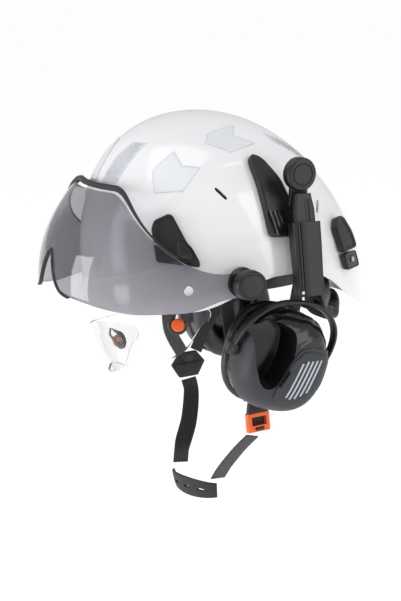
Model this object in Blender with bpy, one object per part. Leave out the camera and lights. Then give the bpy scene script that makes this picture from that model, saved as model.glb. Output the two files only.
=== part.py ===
"""Arborist helmet with a tinted visor, a clear eyeshield, ear muffs and a chin strap.

The wearer faces -Y, the wearer's left is +X and up is +Z. The origin is the middle of the head
opening, at the height of the shell's rim over the ears. Sizes in the functions are in millimetres,
and put_mesh() turns them into metres.
"""

import math

import bmesh
import bpy
from mathutils import Matrix, Vector

MM = 0.001
GAP = 0.35  # air between pieces that touch

# Shell
HALF_WIDTH = 112.0
HALF_LENGTH = 142.0
CROWN_Z = 148.0
BELT_Z = -12.0  # the widest level
PLAN_POWER = 2.12
CROWN_LEAN = 0.21  # forward shift of the crown for each millimetre of height
SHELL_WALL = 2.8
EAR_RIM_Z = 3.0
FRONT_RIM_DROP = 26.0
NAPE_RIM_DROP = 54.0
LINER_WALL = 16.0

# Headband and its adjuster behind the nape
BAND_HALF_WIDTH = 88.0
BAND_HALF_LENGTH = 111.0
NAPE_BAND_DROP = 60.0
NAPE_Y = 108.0

# Visor, on a cross axis through both side knobs
VISOR_AXIS_Y = -41.0
VISOR_AXIS_Z = 3.0
VISOR_HALF_WIDTH = 121.0
VISOR_REACH_LOW = 145.0
VISOR_REACH_TOP = 99.0
VISOR_LOW_Z = -10.0
VISOR_TOP_Z = 86.0
VISOR_WALL = 2.2
NOSE_TURN = 17.0  # the notch for the nose lies within this angle each way

# Clear eyeshield, held by an arm on each side
LENS_HALF_WIDTH = 76.0
LENS_REACH = 95.0
LENS_CENTRE_Y = -33.2
LENS_BUTTON_ANGLE = 58.0
LENS_BUTTON_Z = -40.5
LENS_TOP = 22.0
LENS_BOTTOM = -29.0
LENS_END = 76.0
LENS_WALL = 2.0
LENS_LEAN = 0.18  # the top of the lens is this much further forward for each millimetre up
LENS_DROOP = 18.5  # the right side hangs lower, on its unhooked arm
LENS_YAW = 4.5  # and a little further forward

# Ear muffs: the hub, the lean of each arm, and how far each arm and each yoke is swung
HUB_X = 99.0
HUB_Y = 24.5
HUB_Z = 95.0
ARM_LEAN = 11.0
ARM_SWING = {1: -3.0, -1: 10.0}
YOKE_TURN = {1: -17.0, -1: 0.0}
SLEEVE_LONG = 68.0
CUP_HALF_WIDTH = 45.0
CUP_HALF_HEIGHT = 49.0
CUP_BELOW_FOOT = 63.0

# Chin strap
STRAP_WIDTH = 17.0
STRAP_THICK = 1.8

SIDE_NAME = {1: "left", -1: "right"}

COLOURS = {
    "gloss_white": ((0.86, 0.87, 0.89), 0.18, 0.0),
    "foam_grey": ((0.05, 0.05, 0.055), 0.9, 0.0),
    "black_plastic": ((0.018, 0.018, 0.02), 0.38, 0.0),
    "matte_grey": ((0.045, 0.048, 0.052), 0.55, 0.0),
    "black_gloss": ((0.012, 0.012, 0.014), 0.2, 0.0),
    "rubber": ((0.015, 0.015, 0.016), 0.7, 0.0),
    "tinted_lens": ((0.25, 0.24, 0.26), 0.05, 0.0),
    "clear_lens": ((0.9, 0.93, 0.95), 0.03, 0.0),
    "orange_plastic": ((0.9, 0.16, 0.02), 0.4, 0.0),
    "webbing": ((0.02, 0.02, 0.022), 0.85, 0.0),
    "pad_fabric": ((0.03, 0.03, 0.033), 0.9, 0.0),
    "steel": ((0.6, 0.6, 0.62), 0.3, 1.0),
}


def clear_scene():
    for item in list(bpy.data.objects):
        bpy.data.objects.remove(item)


def finish_of(name):
    found = bpy.data.materials.get(name)
    if found:
        return found
    colour, roughness, metallic = COLOURS[name]
    found = bpy.data.materials.new(name)
    found.use_nodes = True
    shader = found.node_tree.nodes["Principled BSDF"]
    shader.inputs["Base Color"].default_value = (*colour, 1.0)
    shader.inputs["Roughness"].default_value = roughness
    shader.inputs["Metallic"].default_value = metallic
    return found


def put_mesh(name, rings, finish, origin=(0, 0, 0), parent=None, closed=False):
    """Skins rings of points, in millimetres, into one closed object. A ring of one point is a pole.

    closed joins the last ring to the first; otherwise open ends are capped.
    """
    bm = bmesh.new()
    start = Vector(origin)
    made = [[bm.verts.new((Vector(p) - start) * MM) for p in ring] for ring in rings]
    pairs = list(zip(made, made[1:]))
    if closed:
        pairs.append((made[-1], made[0]))
    for low, high in pairs:
        count = max(len(low), len(high))
        for i in range(count):
            j = (i + 1) % count
            corners = [low[i % len(low)], low[j % len(low)], high[j % len(high)], high[i % len(high)]]
            bm.faces.new(list(dict.fromkeys(corners)))
    if not closed:
        for end in (made[0], made[-1]):
            if len(end) > 2:
                bm.faces.new(end)
    bmesh.ops.recalc_face_normals(bm, faces=bm.faces)
    mesh = bpy.data.meshes.new(name)
    bm.to_mesh(mesh)
    bm.free()
    mesh.shade_smooth()
    mesh.set_sharp_from_angle(angle=math.radians(35))
    item = bpy.data.objects.new(name, mesh)
    item.data.materials.append(finish_of(finish))
    bpy.context.scene.collection.objects.link(item)
    item.location = start * MM
    item.parent = parent
    return item


def put_empty(name, place, turn_x=0.0):
    """An empty at a joint, turned about the cross axis, that carries the pieces of one assembly."""
    item = bpy.data.objects.new(name, None)
    item.location = Vector(place) * MM
    item.rotation_euler = (math.radians(turn_x), 0.0, 0.0)
    bpy.context.scene.collection.objects.link(item)
    return item


def cut(item, cutter):
    """Takes the cutter out of the item and hides it."""
    cutter.hide_render = True
    cutter.display_type = "WIRE"
    step = item.modifiers.new("cut_" + cutter.name, "BOOLEAN")
    step.object = cutter
    step.operation = "DIFFERENCE"


def smoothstep(low, high, x):
    t = min(max((x - low) / (high - low), 0.0), 1.0)
    return t * t * (3 - 2 * t)


def ring_around(centre, across, along, half_a, half_b, count, power=2.0):
    """A closed superellipse of points round a centre, in the plane of two unit vectors."""
    points = []
    for i in range(count):
        turn = 2 * math.pi * (i + 0.5) / count
        c, s = math.cos(turn), math.sin(turn)
        a = half_a * math.copysign(abs(c) ** (2 / power), c)
        b = half_b * math.copysign(abs(s) ** (2 / power), s)
        points.append(Vector(centre) + Vector(across) * a + Vector(along) * b)
    return points


def turned(name, start, axis, stations, finish, count=20, parent=None, origin=None):
    """A round piece: stations are (distance along the axis, radius), and radius 0 is a pole."""
    axis = Vector(axis).normalized()
    across = axis.orthogonal().normalized()
    along = axis.cross(across)
    rings = []
    for distance, radius in stations:
        centre = Vector(start) + axis * distance
        if radius == 0:
            rings.append([centre])
        else:
            rings.append(ring_around(centre, across, along, radius, radius, count))
    return put_mesh(name, rings, finish, origin or start, parent)


def bar(name, path, wide, width, thick, finish, parent=None, origin=None, count=4, power=8.0):
    """A bar or strap along a path. wide is the direction of its width; sizes may vary along it."""
    path = [Vector(p) for p in path]
    rings = []
    for i, point in enumerate(path):
        before, after = path[max(i - 1, 0)], path[min(i + 1, len(path) - 1)]
        ahead = (after - before).normalized()
        side = Vector(wide[i] if isinstance(wide, list) else wide)
        side = (side - ahead * side.dot(ahead)).normalized()
        up = ahead.cross(side)
        w = width[i] if isinstance(width, list) else width
        t = thick[i] if isinstance(thick, list) else thick
        if count == 4:
            corners = ((1, 1), (-1, 1), (-1, -1), (1, -1))
            rings.append([point + side * (w / 2 * a) + up * (t / 2 * b) for a, b in corners])
        else:
            rings.append(ring_around(point, side, up, w / 2, t / 2, count, power))
    return put_mesh(name, rings, finish, origin or path[0], parent)


# ---------------------------------------------------------------- shell and what is inside it


def plan_radius(angle, half_width, half_length):
    s, c = abs(math.sin(angle) / half_width), abs(math.cos(angle) / half_length)
    return (s**PLAN_POWER + c**PLAN_POWER) ** (-1 / PLAN_POWER)


def shell_point(angle, z, inset=0.0):
    """A point inset from the shell's outside, at a plan angle from the front towards the left."""
    rise = max(z - BELT_Z, 0.0) / (CROWN_Z - inset - BELT_Z)
    shrink = max(1.0 - rise**1.87, 0.0) ** (1 / 2.09)
    radius = plan_radius(angle, HALF_WIDTH - inset, HALF_LENGTH - inset) * shrink
    lean = CROWN_LEAN * max(z, 0.0)
    return Vector((math.sin(angle) * radius, -math.cos(angle) * radius - lean, z))


def shell_normal(angle, z):
    step = 0.02
    around = shell_point(angle + step, z) - shell_point(angle - step, z)
    upward = shell_point(angle, z + 1.0) - shell_point(angle, z - 1.0)
    return around.cross(upward).normalized()


def rim_z(angle):
    """The rim drops at the front, rises over the ears and falls to the nape."""
    turn = abs(math.degrees(math.atan2(math.sin(angle), math.cos(angle))))
    front = -FRONT_RIM_DROP * (1 - smoothstep(48, 90, turn))
    rear = -NAPE_RIM_DROP * smoothstep(103, 158, turn)
    return EAR_RIM_Z + front + rear


def dome_rows(inset, rows, count, rim_lift):
    """Rings from the crown's pole to the rim, with their heights closer together at the top."""
    top = CROWN_Z - inset
    rings = [[shell_point(0.0, top, inset)]]
    for row in range(1, rows + 1):
        share = 1 - math.cos(math.pi / 2 * row / rows)
        ring = []
        for i in range(count):
            angle = 2 * math.pi * i / count
            low = rim_z(angle) + rim_lift
            ring.append(shell_point(angle, top - (top - low) * share, inset))
        rings.append(ring)
    return rings


def dome(name, outset, wall, rows, count, rim_lift, finish):
    outer = dome_rows(outset, rows, count, rim_lift)
    inner = dome_rows(outset + wall, rows, count, rim_lift)
    return put_mesh(name, outer + inner[::-1], finish)


def vent_cutter(name, side, angle, z, slant):
    """A slot cutter through the shell, upright and slanted by its top's shift."""
    turn = side * math.radians(angle)
    centre, out = shell_point(turn, z), shell_normal(turn, z)
    up = Vector((0, slant, 1)).normalized()
    up = (up - out * up.dot(out)).normalized()
    across = out.cross(up)
    rings = [
        ring_around(centre + out * reach, up, across, 7.0, 1.6, 8)
        for reach in (-9.0, 9.0)
    ]
    return put_mesh(name, rings, "black_plastic", centre)


def make_shell():
    shell = dome("shell", 0.0, SHELL_WALL, 11, 48, 0.0, "gloss_white")
    for side in (1, -1):
        for place, angle, z, slant in (("front", 72, 82, -0.7), ("rear", 130, 58, 0.7)):
            cut(shell, vent_cutter(f"vent_{place}_{SIDE_NAME[side]}", side, angle, z, slant))
    dome("foam_liner", SHELL_WALL + GAP + 1.4, LINER_WALL, 9, 48, 14.0, "foam_grey")


def band_drop(angle):
    """How far the headband hangs down behind the ears."""
    return -NAPE_BAND_DROP * smoothstep(122, 152, abs(math.degrees(angle)))


def band(name, inset, thick, low, high, last, steps, finish):
    """A piece of band round the inside of the helmet, from -last to last degrees."""
    rings = []
    for i in range(steps + 1):
        angle = math.radians(-last + 2 * last * i / steps)
        outer_r = plan_radius(angle, BAND_HALF_WIDTH - inset, BAND_HALF_LENGTH - inset)
        inner_r = outer_r - thick
        d = Vector((math.sin(angle), -math.cos(angle), 0))
        slim = 1 + 0.3 * band_drop(angle) / NAPE_BAND_DROP
        bottom = Vector((0, 0, low * slim + band_drop(angle)))
        top = Vector((0, 0, high * slim + band_drop(angle)))
        rings.append([d * outer_r + bottom, d * outer_r + top, d * inner_r + top, d * inner_r + bottom])
    return put_mesh(name, rings, finish)


def make_inner_pads():
    """The crown pad under the liner, and the headband with its brow pad."""
    under = CROWN_Z - SHELL_WALL - LINER_WALL - 2.5
    lean = -CROWN_LEAN * under
    rings = [[(0, lean, under - 5)]]
    for radius, z in ((40, under - 8.5), (43, under - 11), (40, under - 17), (16, under - 13)):
        rings.append(ring_around((0, lean, z), (1, 0, 0), (0, 1, 0), radius * 0.8, radius, 16))
    rings.append([(0, lean, under - 11.5)])
    put_mesh("crown_pad", rings, "pad_fabric")
    band("headband", 0.0, 1.8, -14.0, 14.0, 142, 36, "black_plastic")
    band("brow_pad", 2.2, 6.0, -13.0, 15.0, 58, 14, "pad_fabric")


def make_nape_adjuster():
    """The ratchet at the back: a housing, a dial with its pinion, and a rack for each band end."""
    centre = Vector((0, NAPE_Y, -NAPE_BAND_DROP))
    for side in (1, -1):
        height = centre.z + side * 6.4
        ends = [Vector((-side * 9, NAPE_Y - 3, height)), Vector((side * 40, NAPE_Y - 3, height))]
        bar(f"band_rack_{SIDE_NAME[side]}", ends, (0, 0, 1), 5.0, 1.6, "black_plastic")
    rings = [
        ring_around(centre + Vector((0, reach, 0)), (1, 0, 0), (0, 0, 1), half_a, half_b, 16, 3.2)
        for reach, half_a, half_b in ((0.0, 28.0, 15.0), (7.0, 28.0, 15.0), (9.0, 25.0, 12.5))
    ]
    put_mesh("nape_housing", rings, "black_plastic", centre)
    turned("nape_dial", centre + Vector((0, 9.0 + GAP, 0)), (0, 1, 0),
           [(0, 0), (0, 12.5), (1.5, 14.0), (8.0, 13.5), (10.0, 11.5), (10.0, 0)], "black_plastic", 24)
    turned("dial_pinion", centre + Vector((0, -GAP, 0)), (0, -1, 0),
           [(0, 0), (0, 3.4), (5.6, 3.4), (5.6, 0)], "black_plastic", 10)


# ---------------------------------------------------------------- clips on the shell


def patch(name, side, centre_angle, centre_z, outline, base, height, finish, taper=0.86, origin=None):
    """A raised piece that follows the shell. outline is (along the shell, up it) in millimetres."""
    middle = side * math.radians(centre_angle)
    middle_along = sum(p[0] for p in outline) / len(outline)
    middle_up = sum(p[1] for p in outline) / len(outline)
    layers = [(base, size) for size in (0.3, 0.65, 1.0)]
    layers += [(base + height * 0.7, 1.0), (base + height, taper)]
    layers += [(base + height, taper * size) for size in (0.65, 0.3)]
    rings = []
    for lift, size in layers:
        ring = []
        for along, up in outline:
            along = middle_along + (along - middle_along) * size
            up = middle_up + (up - middle_up) * size
            turn = middle + side * along / plan_radius(middle, HALF_WIDTH, HALF_LENGTH)
            z = centre_z + up
            ring.append(shell_point(turn, z) + shell_normal(turn, z) * lift)
        rings.append(ring)
    return put_mesh(name, rings, finish, origin or shell_point(middle, centre_z))


FRONT_CLIP = [(-18, -19), (19, -25), (20, -20), (15, -7), (12, -4), (1, 21), (-3, 22.5), (-17, 17), (-20, 10)]
FRONT_TAB = [(1, -15), (14, -18), (14, -13), (9, -3), (2, 0)]
REAR_CLIP = [(-13, -15), (13, -15), (15, 0), (11, 16), (0, 17), (-11, 8)]
REAR_TAB = [(-11, -8), (11, -8), (11, 7), (-11, 7)]


def make_clips(side):
    name = SIDE_NAME[side]
    patch(f"front_clip_{name}", side, 45, 44, FRONT_CLIP, 1.8, 5.9, "black_plastic")
    patch(f"front_tab_{name}", side, 45, 44, FRONT_TAB, 8.0, 3.5, "black_gloss")
    patch(f"rear_clip_{name}", side, 135, 27, REAR_CLIP, 0.7, 8.6, "black_plastic")
    patch(f"rear_tab_{name}", side, 134, 3.5, REAR_TAB, 0.7, 7.2, "black_gloss")


# ---------------------------------------------------------------- tinted visor


def visor_top(turn):
    return 14.0 + (VISOR_TOP_Z - 14.0) * (1 - smoothstep(20, 84, abs(turn)))


def visor_low(turn):
    turn = abs(turn)
    nose = 37.0 * math.exp(-((VISOR_HALF_WIDTH * math.sin(math.radians(turn)) / 15.0) ** 2))
    return -4.0 - 14.0 * smoothstep(8, 52, turn) + 9.0 * smoothstep(66, 84, turn) + nose


def visor_point(turn, z, outset=0.0):
    """A point on the visor's outside. turn is in degrees from the front, towards the left."""
    angle = math.radians(turn)
    rise = min(max((z - VISOR_LOW_Z) / (VISOR_TOP_Z - VISOR_LOW_Z), 0.0), 1.2)
    reach = VISOR_REACH_LOW - (VISOR_REACH_LOW - VISOR_REACH_TOP) * rise**2.4 + outset
    wide = VISOR_HALF_WIDTH - 9.0 * rise**3 + outset
    return Vector((math.sin(angle) * wide, VISOR_AXIS_Y - math.cos(angle) * reach, z))


def turns(last, coarse, fine_until, fine):
    """Angles from -last to last, closer together in the middle where the nose notch is."""
    outer = [fine_until + (last - fine_until) * i / coarse for i in range(1, coarse + 1)]
    middle = [-fine_until + 2 * fine_until * i / fine for i in range(fine + 1)]
    return [-turn for turn in outer[::-1]] + middle + outer


def make_visor():
    axis = (0, VISOR_AXIS_Y, VISOR_AXIS_Z)
    rings = []
    for turn in turns(94, 20, NOSE_TURN, 22):
        low, high = visor_low(turn), visor_top(turn)
        if abs(turn) > 90:
            low, high = low + 3, high - 3
        heights = [low + (high - low) * k / 5 for k in range(6)]
        outer = [visor_point(turn, z) for z in heights]
        inner = [visor_point(turn, z, -VISOR_WALL) for z in heights[::-1]]
        rings.append(outer + inner)
    put_mesh("visor_lens", rings, "tinted_lens", axis)
    rings = []
    for turn in turns(66, 12, 12, 5):
        z = visor_top(turn) + GAP
        size = 0.45 + 0.55 * (1 - smoothstep(30, 66, abs(turn)))
        rings.append([
            visor_point(turn, z, 1.0), visor_point(turn, z + 5.5 * size, 0.6),
            visor_point(turn, z + 5.5 * size, -4.5 * size), visor_point(turn, z, -5.0 * size),
        ])
    put_mesh("visor_trim", rings, "rubber", axis)
    rings = []
    for turn in turns(NOSE_TURN, 0, NOSE_TURN, 22):
        z = visor_low(turn)
        along = visor_point(turn + 0.5, visor_low(turn + 0.5)) - visor_point(turn - 0.5, visor_low(turn - 0.5))
        out = Vector((0, -1, 0))
        down = along.cross(out).normalized()
        down = down if down.z < 0 else -down
        edge = visor_point(turn, z, -VISOR_WALL / 2)
        rings.append([
            edge + down * depth + out * reach
            for depth, reach in ((0.9, 1.6), (2.6, 1.6), (2.6, -1.8), (0.9, -1.8))
        ])
    put_mesh("nose_trim", rings, "rubber", axis)
    for side in (1, -1):
        name = SIDE_NAME[side]
        low = side * (VISOR_HALF_WIDTH - VISOR_WALL - GAP - 0.6)
        turned(f"visor_pivot_{name}", (low, VISOR_AXIS_Y, VISOR_AXIS_Z), (-side, 0, 0),
               [(0, 0), (0, 11.5), (3.0, 13.0), (7.2, 13.0), (7.2, 0)], "black_plastic", 20)
        turned(f"visor_knob_{name}", (side * (VISOR_HALF_WIDTH + GAP + 1.2), VISOR_AXIS_Y, VISOR_AXIS_Z),
               (side, 0, 0), [(0, 0), (0, 15.0), (1.5, 16.5), (8.0, 16.0), (10.5, 13.5), (10.5, 0)],
               "black_plastic", 28)


# ---------------------------------------------------------------- clear eyeshield


def lens_matrix():
    """The lens hangs from its left button, with its free right side low and forward."""
    centre = lens_button(1)[0]
    droop = Matrix.Rotation(math.radians(-LENS_DROOP), 4, "Y")
    yaw = Matrix.Rotation(math.radians(LENS_YAW), 4, "Z")
    return Matrix.Translation(centre) @ yaw @ droop @ Matrix.Translation(-centre)


def lens_point(turn, z, outset=0.0):
    angle = math.radians(turn)
    lean = (z - LENS_BUTTON_Z) * LENS_LEAN
    return Vector((
        math.sin(angle) * (LENS_HALF_WIDTH + outset),
        LENS_CENTRE_Y - math.cos(angle) * (LENS_REACH + outset) - lean,
        z,
    ))


def lens_button(side):
    """Where a button sits on the lens before it hangs, and which way it points."""
    turn = side * LENS_BUTTON_ANGLE
    angle = math.radians(turn)
    slope = -math.cos(angle) / LENS_REACH
    out = Vector((math.sin(angle) / LENS_HALF_WIDTH, slope, slope * LENS_LEAN)).normalized()
    return lens_point(turn, LENS_BUTTON_Z), out


def button_hole(side):
    centre, out = lens_button(side)
    across = Vector((0, 0, 1)).cross(out)
    return [
        lens_matrix() @ p
        for reach in (-8.0, 8.0)
        for p in ring_around(centre + out * reach, across, (0, 0, 1), 6.6, 6.6, 12)
    ]


def lens_edges(turn):
    """The lens is rounded at its side ends and lifts in the middle for the nose."""
    end = smoothstep(LENS_END - 34, LENS_END, abs(turn))
    nose = 8.0 * math.exp(-((turn / 13.0) ** 2))
    low = LENS_BUTTON_Z + LENS_BOTTOM + nose + 27.0 * end * end
    high = LENS_BUTTON_Z + LENS_TOP - 8.0 * end * end
    return low, high


def arm_outline(centre, out, towards, long):
    """A teardrop round a button with its tail in a direction, as (point, point, ...)."""
    tail = (towards - out * towards.dot(out)).normalized()
    across = out.cross(tail)
    points = []
    for i in range(13):
        turn = math.radians(-205 + 230 * i / 12)
        points.append(centre + tail * (9.0 * math.sin(turn)) + across * (9.0 * math.cos(turn)))
    end = centre + tail * long - out * 4.0
    return points + [end + across * 3.5, end - across * 3.5]


def make_eyeshield():
    place = lens_matrix()
    rings = []
    for turn in turns(LENS_END, 13, NOSE_TURN, 8):
        low, high = lens_edges(turn)
        heights = [low + (high - low) * k / 4 for k in range(5)]
        outer = [place @ lens_point(turn, z) for z in heights]
        inner = [place @ lens_point(turn, z, -LENS_WALL) for z in heights[::-1]]
        rings.append(outer + inner)
    left, _ = lens_button(1)
    lens = put_mesh("eyeshield_lens", rings, "clear_lens", left)
    for side in (1, -1):
        name = SIDE_NAME[side]
        points = button_hole(side)
        cut(lens, put_mesh(f"button_hole_{name}", [points[:12], points[12:]], "clear_lens"))
        centre, out = lens_button(side)
        centre = place @ centre
        out = (place.to_3x3() @ out).normalized()
        towards = Vector((0, 0.45, 1.0)) if side == 1 else Vector((0.55, -0.2, 0.5))
        long = 27.0 if side == 1 else 20.0
        first = -LENS_WALL - 1.2
        rings = []
        for reach in (first, first - 3.0):
            rings.append(arm_outline(centre + out * reach, out, towards, long))
        arm = put_mesh(f"eyeshield_arm_{name}", rings, "black_plastic", centre)
        bore = turned(f"arm_bore_{name}", centre - out * 12, out, [(0, 0), (0, 4.2), (20, 4.2), (20, 0)],
                      "black_plastic", 12)
        cut(arm, bore)
        turned(f"eyeshield_button_{name}", centre - out * (LENS_WALL + 1.5), out,
               [(0, 0), (0, 3.7), (1.7, 3.7), (1.7, 6.1), (5.6, 6.1), (6.6, 5.0), (6.6, 0)],
               "orange_plastic", 20)


# ---------------------------------------------------------------- ear muffs


def make_adapter(side):
    """The cover over the shell's side slot, which carries the muff's hub."""
    name = SIDE_NAME[side]
    outline = [(-10, -34), (22, -37), (28, -20), (31, 14), (25, 33), (14, 37), (6, 32), (-1, 8)]
    patch(f"muff_adapter_{name}", side, 95, 73, outline, 1.7, 6.0, "black_plastic", 0.93)


def local(side, x, y, z):
    """A point of an ear muff in its own frame, which has its origin at the hub."""
    return Vector((side * (x - HUB_X), y, z))


def make_muff(side):
    """One ear muff, carried by an empty at its hub and another at its yoke."""
    name = SIDE_NAME[side]
    hub = put_empty(f"muff_frame_{name}", (side * HUB_X, HUB_Y, HUB_Z), ARM_SWING[side])
    turned(f"muff_hub_{name}", local(side, 100, 0, 0), (side, 0, 0),
           [(0, 0), (0, 11.0), (5.0, 11.0), (5.0, 15.5), (13.0, 15.5), (15.0, 13.5), (15.0, 0)],
           "black_plastic", 24, hub)
    lean = math.radians(ARM_LEAN)
    down = Vector((side * math.sin(lean), 0, -math.cos(lean)))
    root = local(side, 113.5, 0, -17.6)
    path = [root, root + down * 4, root + down * 66]
    bar(f"muff_arm_{name}", path, (0, 1, 0), [16, 22, 22], [7, 7, 6], "black_plastic", hub)
    top = root + down * 26
    sleeve = bar(f"muff_slider_{name}", [top, top + down * 2, top + down * SLEEVE_LONG], (0, 1, 0),
                 [27, 29, 27], [13, 14, 12], "black_plastic", hub)
    bore = bar(f"sleeve_bore_{name}", [top - down * 5, top + down * (SLEEVE_LONG - 7)], (0, 1, 0),
               22.8, 7.8, "black_plastic", hub)
    cut(sleeve, bore)
    foot = top + down * SLEEVE_LONG + Vector((0, 0, -1.0))
    yoke = put_empty(f"yoke_frame_{name}", foot, YOKE_TURN[side])
    yoke.parent = hub
    make_yoke(side, yoke)
    make_cup(side, yoke)


def yoke_local(x, y, z, side):
    """A point in a yoke's own frame, whose origin is the slider's foot."""
    return Vector((side * x, y, z))


def make_yoke(side, frame):
    """A bow over the cup, from its front pivot to its rear one, below the slider's foot."""
    name = SIDE_NAME[side]
    pivot_x, reach = -25.0, CUP_HALF_WIDTH + 5.0
    high, low = -5.6, -CUP_BELOW_FOOT
    path = [yoke_local(pivot_x, -reach, low - 7, side)]
    for i in range(17):
        turn = math.pi * i / 16
        rise = math.sin(turn) ** 0.7
        path.append(yoke_local(pivot_x * (1 - rise), -reach * math.cos(turn), low + (high - low) * rise, side))
    path.append(yoke_local(pivot_x, reach, low - 7, side))
    bar(f"yoke_{name}", path, (1, 0, 0), 8.0, 3.2, "black_plastic", frame, (0, 0, 0))


def make_cup(side, frame):
    """The outer cover, the inner cup with its flange, the foam inside and the sealing cushion."""
    name = SIDE_NAME[side]
    a, b = CUP_HALF_WIDTH, CUP_HALF_HEIGHT
    pivot = yoke_local(-25.0, 0, -CUP_BELOW_FOOT, side)

    def layer(node, stations, finish, closed=False, count=28):
        rings = []
        for x, grow in stations:
            centre = yoke_local(x - 128.0, 0, -CUP_BELOW_FOOT, side)
            rings.append(ring_around(centre, (0, 1, 0), (0, 0, 1), a + grow, b + grow, count, 2.5))
        put_mesh(f"{node}_{name}", rings, finish, pivot, frame, closed)

    layer("cup_cover", ((132.5, -32), (131, -18), (126, -10), (117, -4.2), (106, -2.4), (100, -2.4),
                        (100, 0), (106, 0), (118, -1.6), (128, -7.5), (134, -16), (135.5, -32)), "matte_grey")
    layer("cup_body", ((122, -32), (120, -20), (111, -11), (88, -11), (88, -2), (92, 1), (99.5, 1),
                       (99.5, -4), (111, -7), (123, -17), (125, -32)), "black_gloss")
    layer("cup_foam", ((90, -34), (90, -12.5), (99, -12.5), (99, -34)), "foam_grey", count=16)
    layer("cup_cushion", ((87.5, 0), (80, 0.5), (74, -3), (71.5, -9), (74, -15), (80, -18), (87.5, -17)),
          "black_gloss", closed=True)


# ---------------------------------------------------------------- straps


GUARD = Vector((2.0, -35.0, -222.0))
FOLD_RIGHT = Vector((-66.0, -9.0, -121.0))
BUCKLE = Vector((72.0, -6.5, -146.0))


def make_side_straps():
    """The webs that come down from the headband in front of and behind each ear."""
    for side, low in ((-1, FOLD_RIGHT + Vector((1.6, 0, 14))), (1, BUCKLE + Vector((-4, 2, 24)))):
        name = SIDE_NAME[side]
        for place, y in (("front", -36.0), ("rear", 44.0)):
            shift = math.copysign(7.6, y)
            path = [
                Vector((side * 71.0, y, -17)), Vector((side * 67.0, y * 0.85, -50)),
                Vector((side * 65.0, low.y + y * 0.35 + shift, low.z + 26)),
                Vector((low.x, low.y + shift * 1.05, low.z)),
            ]
            bar(f"web_{place}_{name}", path, (0, 1, 0), STRAP_WIDTH * 0.82, STRAP_THICK, "webbing")


def make_chin_strap():
    """The fold under the right ear, the chin guard, and the web on each side of it."""
    fold = [
        Vector((FOLD_RIGHT.x, FOLD_RIGHT.y + y, FOLD_RIGHT.z + z))
        for y, z in ((-19, 1), (-9.5, 13), (9.5, 13), (19, 1), (10.5, -13), (-10.5, -13))
    ]
    thick = Vector((3.2, 0, 0))
    put_mesh("fold_right", [[p - thick for p in fold], [p + thick * 0.1 for p in fold]], "webbing", FOLD_RIGHT)
    start = FOLD_RIGHT + Vector((-1.4, 0, -15.4))
    end = GUARD + Vector((-27, -8, 14))
    bend = [start, start + Vector((3, 1, -14)), start.lerp(end, 0.5) + Vector((2, 4, 0)),
            end + Vector((0, 3, 18)), end]
    bar("chin_web_right", bend, (0, 1, 0), STRAP_WIDTH, STRAP_THICK, "webbing")
    start = GUARD + Vector((30, 4, 12))
    end = BUCKLE + Vector((-1.0, -6, -13.6))
    bend = [start, start.lerp(end, 0.3) + Vector((0, -3, 0)), start.lerp(end, 0.7) + Vector((0, -3, 0)), end]
    bar("chin_web_left", bend, (0, 1, 0), STRAP_WIDTH, STRAP_THICK, "webbing")
    rings = []
    for i in range(13):
        turn = math.radians(-68 + 136 * i / 12)
        along = Vector((math.sin(turn) * 35, -math.cos(turn) * 18, 0))
        out = Vector((math.sin(turn) * 0.6, -math.cos(turn), 0)).normalized()
        half = 10.5 - 3.0 * abs(math.sin(turn)) ** 2
        yaw = Matrix.Rotation(math.radians(14), 4, "Z")
        middle, out = GUARD + yaw @ along, yaw @ out
        top, low = middle + Vector((0, 0, half)), middle - Vector((0, 0, half)) - out * 4
        rings.append([low, middle + out * 1.5, top, top - out * 3, middle - out * 2, low - out * 3])
    put_mesh("chin_guard", rings, "rubber", GUARD)


def make_buckle():
    """The buckle: an orange socket with a window, the black plug above it and a press button."""
    aim = Vector((-0.1, 0.0, 1.0)).normalized()
    socket = bar("buckle_socket", [BUCKLE - aim * 9, BUCKLE + aim * 9], (0, 1, 0), 24, 7, "orange_plastic")
    window = bar("buckle_window", [BUCKLE - aim * 3, BUCKLE + aim * 5.5], (0, 1, 0), 16, 12, "orange_plastic")
    cut(socket, window)
    bar("buckle_plug", [BUCKLE + aim * 9.4, BUCKLE + aim * 19], (0, 1, 0), [22, 18], 6, "black_plastic")
    out = Vector((aim.z, 0, -aim.x))
    face = BUCKLE - aim * 6.2
    pocket = bar("button_pocket", [face + out * 0.4, face + out * 6], (0, 1, 0), 9.8, 3.4, "orange_plastic")
    cut(socket, pocket)
    bar("buckle_button", [face + out * 1.8, face + out * 5.0], (0, 1, 0), 9, 2.6, "black_gloss")


def main():
    clear_scene()
    make_shell()
    make_inner_pads()
    make_nape_adjuster()
    make_visor()
    make_eyeshield()
    for side in (1, -1):
        make_clips(side)
        make_adapter(side)
        make_muff(side)
    make_side_straps()
    make_chin_strap()
    make_buckle()


main()
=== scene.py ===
# %% [markdown]
# # A climbing helmet with a visor, an eyeshield and ear muffs
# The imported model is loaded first. It gives every body that moves and every part's place. This lesson makes
# the surfaces that are seen, and each one rides on the body it belongs to.

# %% Load the model
import math
import bpy
from mathutils import Matrix, Vector, noise


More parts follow.
